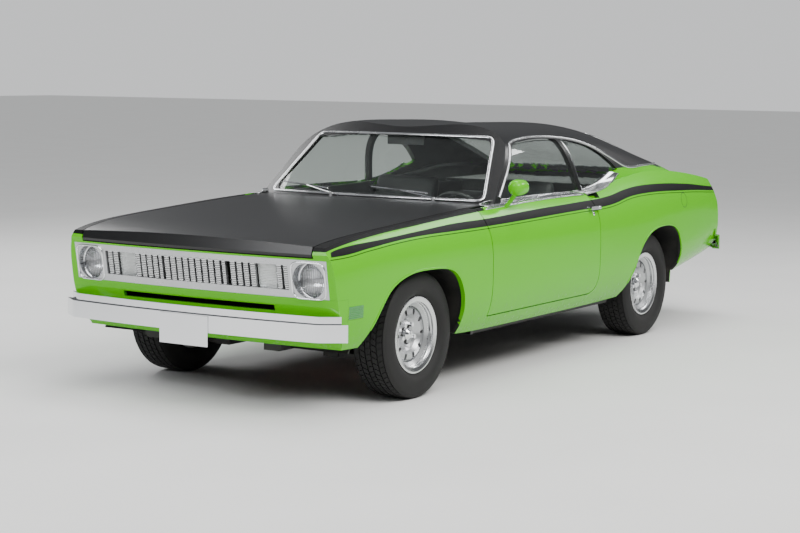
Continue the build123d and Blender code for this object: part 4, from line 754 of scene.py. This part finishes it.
rail = {  # over the windows and on across the rear pillar
    "line": [(0.612, 0.978), (0.48, 1.095), (0.352, 1.243), (0.296, 1.271), (0.2, 1.283), (0, 1.291),
             (-0.262, 1.283), (-0.5, 1.257), (-0.69, 1.209), (-0.86, 1.142), (-1.048, 1.077), (-1.3, 1.077),
             (-1.568, 1.0765)],
    "width": 0.015, "height": 0.007}
path = [sideHit(x, z) for x, z in smoothPath(rail["line"], 8)]
path = [(p, (n + Vector((0, 0.6, 0))).normalized()) for p, n in path]
dripRail = strip("drip_rail_left", path, crowned(rail["width"], rail["height"]), brightTrim, "body")
mirrored(dripRail, "drip_rail_right", "body")
pillar = {"line": [(-0.306, 1.268), (-0.33, 1.16), (-0.352, 1.06), (-0.371, 0.976)], "back": 0.032,
          "width": 0.009, "height": 0.003}
path = [sideHit(x - pillar["back"], z) for x, z in smoothPath(pillar["line"], 6)]
pillarStrip = strip("pillar_strip_left", path, crowned(pillar["width"], pillar["height"]), brightTrim, "body")
mirrored(pillarStrip, "pillar_strip_right", "body")

screen = {"lowHalf": 0.723, "highHalf": 0.595, "lowZ": 0.961, "highZ": 1.294, "corner": 0.045, "rake": 1.08,
          "baseX": 0.79, "planR": 2.75, "baseZ": 0.958, "width": 0.016, "height": 0.006}


def roundedLoop(corners, radius, steps=7, side=10):  # a closed outline with rounded corners
    line = []
    count = len(corners)
    for i in range(count):
        here = Vector(corners[i])
        toPrev = (Vector(corners[i - 1]) - here).normalized()
        toNext = (Vector(corners[(i + 1) % count]) - here).normalized()
        a, b = here + toPrev * radius, here + toNext * radius
        for k in range(steps + 1):
            t = k / steps
            line.append(a * (1 - t) ** 2 + here * 2 * t * (1 - t) + b * t * t)
        nextCorner = Vector(corners[(i + 1) % count])
        end = nextCorner - (nextCorner - here).normalized() * radius
        for k in range(1, side):
            line.append(b.lerp(end, k / side))
    return line


def screenX(y, z):
    sag = screen["planR"] - math.sqrt(screen["planR"] ** 2 - y * y)
    return screen["baseX"] - screen["rake"] * (z - screen["baseZ"]) - sag


s = screen
corners = [(-s["lowHalf"], s["lowZ"]), (s["lowHalf"], s["lowZ"]), (s["highHalf"], s["highZ"]),
           (-s["highHalf"], s["highZ"])]
slope = math.hypot(1, s["rake"])
path = []
for y, z in roundedLoop(corners, s["corner"]):
    bowed = z + (0.008 if z > 1.2 else 0.004) * (1 - (y / 0.7) ** 2)
    outward = Vector((1 / slope, y * 0.3, s["rake"] / slope)).normalized()
    path.append((Vector((screenX(y, bowed), y, bowed)), outward))
strip("windscreen_surround", path, crowned(s["width"], s["height"], 0.003), brightTrim, "body", closed=True)

backWindow = {"frontX": -0.955, "rearX": -1.798, "frontHalf": 0.545, "rearHalf": 0.61, "corner": 0.05,
              "sag": 0.03, "width": 0.018, "height": 0.006}
w = backWindow
corners = [(w["frontX"], -w["frontHalf"]), (w["frontX"], w["frontHalf"]), (w["rearX"], w["rearHalf"]),
           (w["rearX"], -w["rearHalf"])]
path = []
for x, y in roundedLoop(corners, w["corner"]):
    sag = w["sag"] * (y / 0.6) ** 2
    x = x - sag if x > -1.3 else x + sag
    path.append(topHit(x, y))
path = [(p, (n + Vector((0, 0, 0.5))).normalized()) for p, n in path]
strip("back_window_surround", path, crowned(w["width"], w["height"], 0.004), brightTrim, "body", closed=True)
print("window trim made")

arches = {  # rolled lips, from the axle's line
    "front": [(-0.3615, 0.42), (-0.35, 0.52), (-0.296, 0.61), (-0.19, 0.656), (0.04, 0.667), (0.19, 0.65),
              (0.312, 0.602), (0.4, 0.52), (0.478, 0.41)],
    "rear": [(-0.366, 0.43), (-0.362, 0.54), (-0.318, 0.64), (-0.21, 0.69), (-0.02, 0.694), (0.13, 0.66),
             (0.24, 0.59), (0.33, 0.48), (0.4, 0.375)]}
lipSize = {"width": 0.011, "height": 0.003, "sink": 0.006, "widest": 0.902, "inset": 0.006, "edge": 0.002}
for archName, points in arches.items():
    path = []
    for dx, z in smoothPath(points, 7):
        toHub = Vector((-dx, 0, 0.328 - z)).normalized()
        off = toHub * lipSize["inset"]
        hit, normal = sideHit(wheelPlaces[archName][0] + dx - off.x, z - off.z)
        hit.y = min(hit.y, lipSize["widest"])
        path.append((hit + toHub * lipSize["edge"], normal))
    lipSection = crowned(lipSize["width"], lipSize["height"], lipSize["sink"])
    lip = strip("arch_lip_%s_left" % archName, path, lipSection, greenPaint, "body")
    mirrored(lip, "arch_lip_%s_right" % archName, "body")

lamp = {"y": 0.691, "z": 0.671, "radius": 0.0865, "faceX": 2.266, "dome": 0.013, "glass": 0.004,
        "bezelHalf": 0.093, "corner": 0.042, "bowlX": 2.19, "bowlDepth": 0.049, "steps": 48,
        "shield": [(0.0005, 2.232), (0.012, 2.229), (0.0155, 2.222), (0.0155, 2.192), (0.0005, 2.192)]}
for side, sideName in ((1, "left"), (-1, "right")):
    centre = (0, side * lamp["y"], lamp["z"])
    outer = [(lamp["radius"] * math.sin(a), lamp["faceX"] - lamp["dome"] * (1 - math.cos(a)) * 1.8)
             for a in [k * math.pi / 2 / 12 for k in range(13)]]
    inner = [(r * 0.96, x - lamp["glass"]) for r, x in reversed(outer)]
    lathe("headlamp_lens_" + sideName, centre, (1, 0, 0), outer + inner, lamp["steps"], lensGlass, "body")
    bowl = [(0.014 + 0.07 * math.sqrt(k / 10), lamp["bowlX"] + lamp["bowlDepth"] * k / 10) for k in range(11)]
    bowl += [(r + 0.0015, x - 0.002) for r, x in reversed(bowl)]
    lathe("headlamp_bowl_" + sideName, centre, (1, 0, 0), bowl, lamp["steps"], chrome, "body")
    lathe("headlamp_bulb_" + sideName, centre, (1, 0, 0), lamp["shield"], 24, chrome, "body")
    h = lamp["bezelHalf"]
    loop = roundedLoop([(-h, -h * 0.95), (h, -h * 0.95), (h, h * 0.95), (-h, h * 0.95)], lamp["corner"])
    path = []
    for dy, dz in loop:
        y, z = lamp["y"] + dy, lamp["z"] + dz
        path.append((Vector((noseX(y, z) + 0.001, side * y, z)), Vector((1, 0, -0.16)).normalized()))
    if side < 0:
        path.reverse()
    strip("headlamp_bezel_" + sideName, path, crowned(0.009, 0.006, 0.003), chrome, "body", closed=True)
    path = []
    rimRadius, rimX = lamp["radius"] + 0.001, lamp["faceX"] - 0.014
    for k in range(lamp["steps"]):
        a = side * 2 * math.pi * k / lamp["steps"]
        y, z = side * lamp["y"] + math.cos(a) * rimRadius, lamp["z"] + math.sin(a) * rimRadius
        path.append((Vector((rimX, y, z)), Vector((1, 0, 0))))
    strip("headlamp_rim_" + sideName, path, crowned(0.009, 0.005, 0.004), chrome, "body", closed=True)


def islandCopy(name, source, test, materials, pick, body):  # faces of a CAD piece as a piece of their own
    mesh = nodes[source].data.copy()
    work = bmesh.new()
    work.from_mesh(mesh)
    others = [face for face in work.faces if not test(face.calc_center_median())]
    bmesh.ops.delete(work, geom=others, context="FACES")
    bmesh.ops.remove_doubles(work, verts=work.verts, dist=1e-5)
    work.to_mesh(mesh)
    work.free()
    mesh.materials.clear()
    for material in materials:
        mesh.materials.append(material)
    for polygon in mesh.polygons:
        polygon.material_index = pick(polygon)
    obj = newObject(name, mesh)
    splitEdges(obj)
    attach(obj, body)
    return obj


parking = islandCopy("parking_lamps", "front_lamps", lambda c: abs(c.y) < 0.52 and c.z > 0.6,
                     [parkingLens, chrome], lambda p: 0 if p.normal.x > 0.5 else 1, "body")
islandCopy("side_markers", "front_lamps", lambda c: c.z < 0.56,
           [markerLens, chrome], lambda p: 0 if abs(p.normal.y) > 0.5 else 1, "body")
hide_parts("front_lamps")
print("front lamps made")

tail = {"y": (0.25, 0.73), "z": (0.664, 0.752), "corner": 0.012, "outside": 0.004,
        "width": 0.009, "height": 0.006}
for side, sideName in ((1, "left"), (-1, "right")):
    y0, y1 = tail["y"]
    z0, z1 = tail["z"]
    path = []
    for y, z in roundedLoop([(y0, z0), (y1, z0), (y1, z1), (y0, z1)], tail["corner"], 4, 14):
        y += tail["outside"] if y > (y0 + y1) / 2 else -tail["outside"]
        z += tail["outside"] if z > (z0 + z1) / 2 else -tail["outside"]
        tailX = -2.33 - 0.022 * (z - 0.585) / 0.185 + 0.046 * y * y
        path.append((Vector((tailX - 0.001, side * y, z)), Vector((-1, 0, 0))))
    if side > 0:
        path.reverse()
    section = crowned(tail["width"], tail["height"], 0.003)
    strip("tail_lamp_frame_" + sideName, path, section, chrome, "body", closed=True)

wheel = {"ring": [(0.1665, 0.066), (0.174, 0.073), (0.186, 0.0805), (0.194, 0.0845), (0.199, 0.083),
                  (0.1995, 0.079), (0.196, 0.0805), (0.187, 0.0775), (0.175, 0.07), (0.1675, 0.0635)],
         "radius": 0.328, "treadHalf": 0.086, "crownHalf": 0.084, "crown": 0.004, "groove": 0.0075,
         "depth": 0.0065, "pitches": 62, "leans": (0.35, -0.35, 0.2, -0.35, 0.35), "wallHalf": 0.1075,
         "steps": 96}


def tyreRadius(out):  # an arc through the tread's two edges and its middle
    edge, drop = wheel["crownHalf"], wheel["crown"]
    big = (edge * edge + drop * drop) / (2 * drop)
    return wheel["radius"] - big + math.sqrt(max(big * big - out * out, 0.0))


def onWheel(centreX, centreY, radius, angle, out):
    return centreX + radius * math.cos(angle), centreY + out, wheel["radius"] + radius * math.sin(angle)


def treadMesh(centreX, centreY):  # ribs cut into blocks
    verts, faces = [], []
    half, ribs = wheel["treadHalf"], len(wheel["leans"])
    span, step = 2 * half / ribs, 2 * math.pi / wheel["pitches"]
    for rib, lean in enumerate(wheel["leans"]):
        inner = -half + rib * span + wheel["groove"] / 2
        outer = -half + (rib + 1) * span - wheel["groove"] / 2
        for i in range(wheel["pitches"]):
            start = 2 * math.pi * (i + 0.5 * (rib % 2)) / wheel["pitches"]
            first = len(verts)
            for sink in (wheel["depth"], 0.0):
                for u, v in ((0.0, 0.0), (0.86, 0.0), (0.86, 0.5), (0.86, 1.0), (0.0, 1.0), (0.0, 0.5)):
                    out = inner + (outer - inner) * v
                    angle = start + step * (u + lean * (v - 0.5))
                    verts.append(onWheel(centreX, centreY, tyreRadius(out) - sink, angle, out))
            for k in range(6):
                q = (k + 1) % 6
                faces.append((first + k, first + q, first + 6 + q, first + 6 + k))
            faces.append(tuple(first + 6 + k for k in range(6)))
    return verts, faces


def carcass():  # the tyre's section, with the tread ground down to the bottom of its grooves
    half = wheel["wallHalf"]
    wall = smoothPath([(0.199, 0.0755), (0.226, half - 0.007), (0.258, half), (0.3, half - 0.006),
                       (0.3155, half - 0.014), (0.3225, 0.088)], 5)
    points = [(0.1775, 0.0555), (0.1775, 0.0755)] + wall
    tread = [(tyreRadius(out) - wheel["depth"], out) for out in (0.0855, 0.05, 0.0, -0.05, -0.0855)]
    return points + tread + [(r, -out) for r, out in reversed(points)]


for endName, (axleX, trackY) in wheelPlaces.items():
    for side, sideName in ((1, "left"), (-1, "right")):
        tyreNode = "tyre_%s_%s" % (endName, sideName)
        body = bodyName(tyreNode)
        wheelY = side * trackY
        ringProfile = [(r, side * d) for r, d in wheel["ring"]]
        centre = (axleX, wheelY, wheel["radius"])
        lathe("trim_ring_%s_%s" % (endName, sideName), centre, (0, 1, 0), ringProfile, 72, brightTrim, body)
        verts, faces = treadMesh(axleX, wheelY)
        section = carcass()
        steps, first, width = wheel["steps"], len(verts), len(section)
        for i in range(steps):
            verts += [onWheel(axleX, wheelY, r, 2 * math.pi * i / steps, d) for r, d in section]
        for i in range(steps):
            here, there = first + i * width, first + (i + 1) % steps * width
            faces += [(here + m, here + m + 1, there + m + 1, there + m) for m in range(width - 1)]
        tyre = makeObject("tread_%s_%s" % (endName, sideName), verts, faces, rubber, body)
        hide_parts(tyreNode)

liner = {"y": (0.569, 0.573), "inner": 0.33, "outer": 0.47, "from": 10, "to": 170, "steps": 24}
verts, faces = [], []
for i in range(liner["steps"] + 1):  # closes the rear wheelhouses above the tyres
    a = math.radians(liner["from"] + (liner["to"] - liner["from"]) * i / liner["steps"])
    for radius, k in ((liner["inner"], 0), (liner["outer"], 0), (liner["outer"], 1), (liner["inner"], 1)):
        verts.append(onWheel(wheelPlaces["rear"][0], 0.0, radius, a, liner["y"][k]))
for i in range(liner["steps"]):
    faces += [(4 * i + m, 4 * i + (m + 1) % 4, 4 * i + 4 + (m + 1) % 4, 4 * i + 4 + m) for m in range(4)]
last = 4 * liner["steps"]
faces += [(0, 1, 2, 3), (last, last + 3, last + 2, last + 1)]
leftLiner = makeObject("wheelhouse_liner_left", verts, faces, chassisBlack, "body", smooth=False)
mirrored(leftLiner, "wheelhouse_liner_right", "body")
print("wheels dressed")

handle = {"x": -0.349, "z": 0.868, "lockDrop": 0.036, "buttonBack": 0.047, "buttonY": 0.892,
          "lock": [(0.0004, 0.0065), (0.009, 0.006), (0.0115, 0.004), (0.012, 0.0), (0.0004, 0.0)],
          "button": [(0.0004, 0.007), (0.008, 0.0065), (0.0095, 0.005), (0.0095, 0.0), (0.0004, 0.0)]}
for side, sideName in ((1, "left"), (-1, "right")):
    hit, _ = sideHit(handle["x"], handle["z"] - handle["lockDrop"])
    lockPlace = (hit.x, side * (hit.y - 0.003), hit.z)
    buttonPlace = (handle["x"] - handle["buttonBack"], side * handle["buttonY"], handle["z"])
    body = "door_" + sideName
    for part, place in (("lock", lockPlace), ("button", buttonPlace)):
        lathe("door_%s_%s" % (part, sideName), place, (0, side, 0), handle[part], 24, chrome, body)

mirror = {"centre": (0.5515, 0.886, 1.038),
          "glass": [(0.0004, 0.001), (0.037, 0.001), (0.039, 0.0), (0.0004, 0.0)],
          "rim": [(0.0375, 0.0025), (0.0405, 0.0015), (0.0405, -0.001), (0.0375, -0.001)], "steps": 40}
for part, material in (("glass", mirrorGlass), ("rim", chrome)):
    lathe("mirror_" + part, mirror["centre"], (-1, 0, 0), mirror[part], mirror["steps"], material,
          bodyName("door_fittings_left"))

fuel = {"x": -1.667, "z": 0.839, "radius": 0.047, "steps": 40}  # door on the left rear side
path = []
for k in range(fuel["steps"]):
    a = 2 * math.pi * k / fuel["steps"]
    path.append(sideHit(fuel["x"] + fuel["radius"] * math.cos(a), fuel["z"] + fuel["radius"] * math.sin(a)))
strip("fuel_door_gap", path, crowned(0.0035, 0.0008, 0.001), rubberSeal, "body", closed=True)

wiper = {"left": 0.455, "right": -0.211, "start": 0.07, "length": 0.37, "z": 0.992, "rise": 0.02,
         "off": 0.0035}
for sideName in ("right", "left"):
    path = []
    for k in range(9):
        t = k / 8
        y, z = wiper[sideName] - wiper["start"] - wiper["length"] * t, wiper["z"] + wiper["rise"] * t
        path.append((Vector((screenX(y, z) + wiper["off"], y, z)), Vector((1, 0, 1.08)).normalized()))
    strip("wiper_rubber_" + sideName, path, crowned(0.004, 0.0045, 0.003), rubberSeal, "body")
print("fittings made")

plate = {"low": (2.3893, -0.15, 0.3155), "high": (2.3923, 0.15, 0.4645), "round": 0.0008}  # left blank
brick("number_plate_blank", plate["low"], plate["high"], plateWhite, "body", plate["round"])


seat = {"levels": 2, "fill": 0.7, "y": 0.4, "pleats": 0.004, "along": 8, "across": 8, "rearAcross": 16,
        "base": ((-0.168, -0.233, 0.33), (0.328, 0.233, 0.478), 0.03),
        "back": ((0.0, -0.222, -0.053), (0.61, 0.222, 0.052), 0.025),
        "backFoot": (-0.153, 0, 0.425), "backLean": 17,
        "rearBase": ((-1.01, -0.538, 0.402), (-0.562, 0.538, 0.518), 0.028),
        "rearBack": ((0.0, -0.538, -0.053), (0.455, 0.538, 0.052), 0.025), "rearFoot": (-0.987, 0, 0.443),
        "rearLean": 22, "frame": ((-0.11, -0.19, 0.279), (0.27, 0.19, 0.335)), "frameRound": 0.01}


def cushion(name, box, y, across):  # a box of quads whose top swells towards its middle
    verts, faces, index = [], [], {}
    low, high, crown = box
    along = seat["along"]
    x0, y0, z0 = low
    x1, y1, z1 = high
    for i in range(along + 1):
        for j in range(across + 1):
            u, v = i / along, j / across
            swell = crown * (1 - (2 * u - 1) ** 4) * (1 - (2 * v - 1) ** 4)
            groove = seat["pleats"] if 0 < j < across and j % 2 and 0 < i < along else 0.0
            index[(i, j, 1)] = len(verts)
            verts.append((x0 + (x1 - x0) * u, y + y0 + (y1 - y0) * v, z1 - crown + swell - groove))
            index[(i, j, 0)] = len(verts)
            verts.append((x0 + (x1 - x0) * u, y + y0 + (y1 - y0) * v, z0))

    def quad(*corners):
        faces.append(tuple(index[corner] for corner in corners))

    for i in range(along):
        for j in range(across):
            quad((i, j, 1), (i + 1, j, 1), (i + 1, j + 1, 1), (i, j + 1, 1))
            quad((i, j, 0), (i, j + 1, 0), (i + 1, j + 1, 0), (i + 1, j, 0))
    for i in range(along):
        for j in (0, across):
            quad((i, j, 0), (i + 1, j, 0), (i + 1, j, 1), (i, j, 1))
    for j in range(across):
        for i in (0, along):
            quad((i, j, 0), (i, j + 1, 0), (i, j + 1, 1), (i, j, 1))
    obj = makeObject(name, verts, faces, blackVinyl, "body")
    obj.modifiers.remove(obj.modifiers["edges"])
    surface = obj.modifiers.new("round", "SUBSURF")
    surface.levels = surface.render_levels = seat["levels"]
    return obj


def leaned(obj, foot, lean):  # stands a lying pad up as a backrest that leans back from its foot
    turn = Matrix.Rotation(math.radians(-(90 + lean)), 4, "Y")
    obj.data.transform(Matrix.Translation(Vector(foot)) @ turn)
    obj.data.update()


for side, sideName in ((1, "left"), (-1, "right")):
    y = side * seat["y"]
    base = cushion("seat_cushion_" + sideName, seat["base"], y, seat["across"])
    back = cushion("seat_back_" + sideName, seat["back"], y, seat["across"])
    leaned(back, seat["backFoot"], seat["backLean"])
    if side > 0:
        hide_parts("front_seats")
rearBase = cushion("rear_cushion", seat["rearBase"], 0.0, seat["rearAcross"])
rearBack = cushion("rear_backrest", seat["rearBack"], 0.0, seat["rearAcross"])
leaned(rearBack, seat["rearFoot"], seat["rearLean"])
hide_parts("rear_seat")
for side, sideName in ((1, "left"), (-1, "right")):
    low, high = [(x, side * seat["y"] + y, z) for x, y, z in seat["frame"]]
    brick("seat_frame_" + sideName, low, high, chassisBlack, "body", seat["frameRound"])
print("seats made")

dial = {"x": 0.607, "y": (0.29, 0.43), "z": 0.815, "axis": (-1, 0, 0.1),
        "ring": [(0.046, 0.012), (0.052, 0.012), (0.054, 0.0), (0.046, 0.0)],
        "face": [(0.0004, 0.004), (0.047, 0.004), (0.047, 0.0), (0.0004, 0.0)]}
for k, y in enumerate(dial["y"]):
    centre = (dial["x"], y, dial["z"])
    for part, material in (("ring", chrome), ("face", blackPlastic)):
        lathe("dial_%s_%d" % (part, k), centre, dial["axis"], dial[part], 36, material, "body")
brick("radio_face", (0.6, -0.09, 0.79), (0.615, 0.09, 0.84), brightTrim, "body", 0.003)
horn = {"centre": (0.372, 0.39, 0.8), "axis": (-0.9135, 0, 0.4067), "proud": 0.006,
        "profile": [(0.0004, 0.014), (0.03, 0.012), (0.043, 0.004), (0.043, -0.006), (0.0004, -0.006)]}
centre = Vector(horn["centre"]) + Vector(horn["axis"]) * horn["proud"]
lathe("horn_pad", centre, horn["axis"], horn["profile"], 36, blackPlastic, bodyName("steering_wheel"))

ground = {"half": 60, "dark": (0.7, 0.7, 0.69), "light": (0.76, 0.76, 0.75), "rough": 0.75}
floorMaterial, tree, shader = newMaterial("paleFloor")
floorTone = noise(tree, rowPosition(tree), 1.4, 4.0)
feed(tree, mixColor(tree, floorTone, ground["dark"], ground["light"]), shader, "Base Color")
feed(tree, ground["rough"], shader, "Roughness")
floorMesh = bpy.data.meshes.new("floor")
h = ground["half"]
floorMesh.from_pydata([(-h, -h, 0), (h, -h, 0), (h, h, 0), (-h, h, 0)], [], [(0, 1, 2, 3)])
floorMesh.materials.append(floorMaterial)
floor = newObject("floor", floorMesh)
floor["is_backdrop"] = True

studio = {"low": (0.06, 0.06, 0.063), "high": (0.3, 0.31, 0.32), "seen": (0.8, 0.81, 0.82),
          "sun": 1.6, "sunSoftness": 50, "sunTurn": (-28, 22), "aim": (0.2, 0, 0.6)}
world = bpy.data.worlds.new("studio")
bpy.context.scene.world = world
world.use_nodes = True
sky = world.node_tree
backdrop = sky.nodes["Background"]
skyCoords = sky.nodes.new("ShaderNodeTexCoord")
_, _, skyUp = splitAxes(sky, skyCoords.outputs["Generated"])
tone = smoothStep(sky, skyUp, -0.1, 0.6)
glow = mixColor(sky, tone, studio["low"], studio["high"])
skyPath = sky.nodes.new("ShaderNodeLightPath")
feed(sky, mixColor(sky, skyPath.outputs["Is Camera Ray"], glow, studio["seen"]), backdrop, "Color")
feed(sky, 1.0, backdrop, "Strength")

lights = {  # place, size, power and colour
    "key": ((2.5, 6.0, 6.0), 6.0, 520.0, (1.0, 0.98, 0.95)),
    "front": ((8.5, -1.5, 4.5), 4.5, 330.0, (0.97, 0.98, 1.0)),
    "top": ((-0.5, 0.5, 7.5), 5.0, 260.0, (1.0, 1.0, 1.0)),
    "rear": ((-7.0, 5.0, 5.5), 4.0, 240.0, (1.0, 1.0, 1.0)),
    "far": ((-1.0, -7.0, 5.0), 5.0, 240.0, (1.0, 1.0, 1.0))}
for lightName, (place, size, power, color) in lights.items():
    data = bpy.data.lights.new(lightName, "AREA")
    data.shape = "RECTANGLE"
    data.size, data.size_y = size, size * 0.5
    data.energy = power
    data.color = color
    light = newObject(lightName, data)
    light.location = place
    aim = Vector(studio["aim"]) - Vector(place)
    light.rotation_euler = aim.to_track_quat("-Z", "Y").to_euler()
    light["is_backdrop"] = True

sunData = bpy.data.lights.new("softSun", "SUN")
sunData.energy = studio["sun"]
sunData.angle = math.radians(studio["sunSoftness"])
sun = newObject("softSun", sunData)
sun.rotation_euler = (*[math.radians(angle) for angle in studio["sunTurn"]], 0)
sun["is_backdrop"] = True

shot = {"place": (9.325, 5.701, 1.699), "azimuth": 32.59, "pitch": 6.319, "roll": 0.503, "lens": 81.907}
az, pitch, roll = (math.radians(shot[key]) for key in ("azimuth", "pitch", "roll"))
forward = Vector((-math.cos(az) * math.cos(pitch), -math.sin(az) * math.cos(pitch), -math.sin(pitch)))
right = forward.cross(Vector((0, 0, 1))).normalized()
up = right.cross(forward)
rightRolled = right * math.cos(roll) + up * math.sin(roll)
upRolled = up * math.cos(roll) - right * math.sin(roll)
cameraData = bpy.data.cameras.new("camera")
cameraData.sensor_width = 36
cameraData.lens = shot["lens"]
camera = newObject("camera", cameraData)
camera.matrix_world = Matrix((
    (rightRolled.x, upRolled.x, -forward.x, shot["place"][0]),
    (rightRolled.y, upRolled.y, -forward.y, shot["place"][1]),
    (rightRolled.z, upRolled.z, -forward.z, shot["place"][2]),
    (0, 0, 0, 1)))
bpy.context.scene.camera = camera
camera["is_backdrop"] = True
print("stage set")

low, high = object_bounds()
{"cad": [list(cadLow), list(cadHigh)], "scene": [list(low), list(high)]}
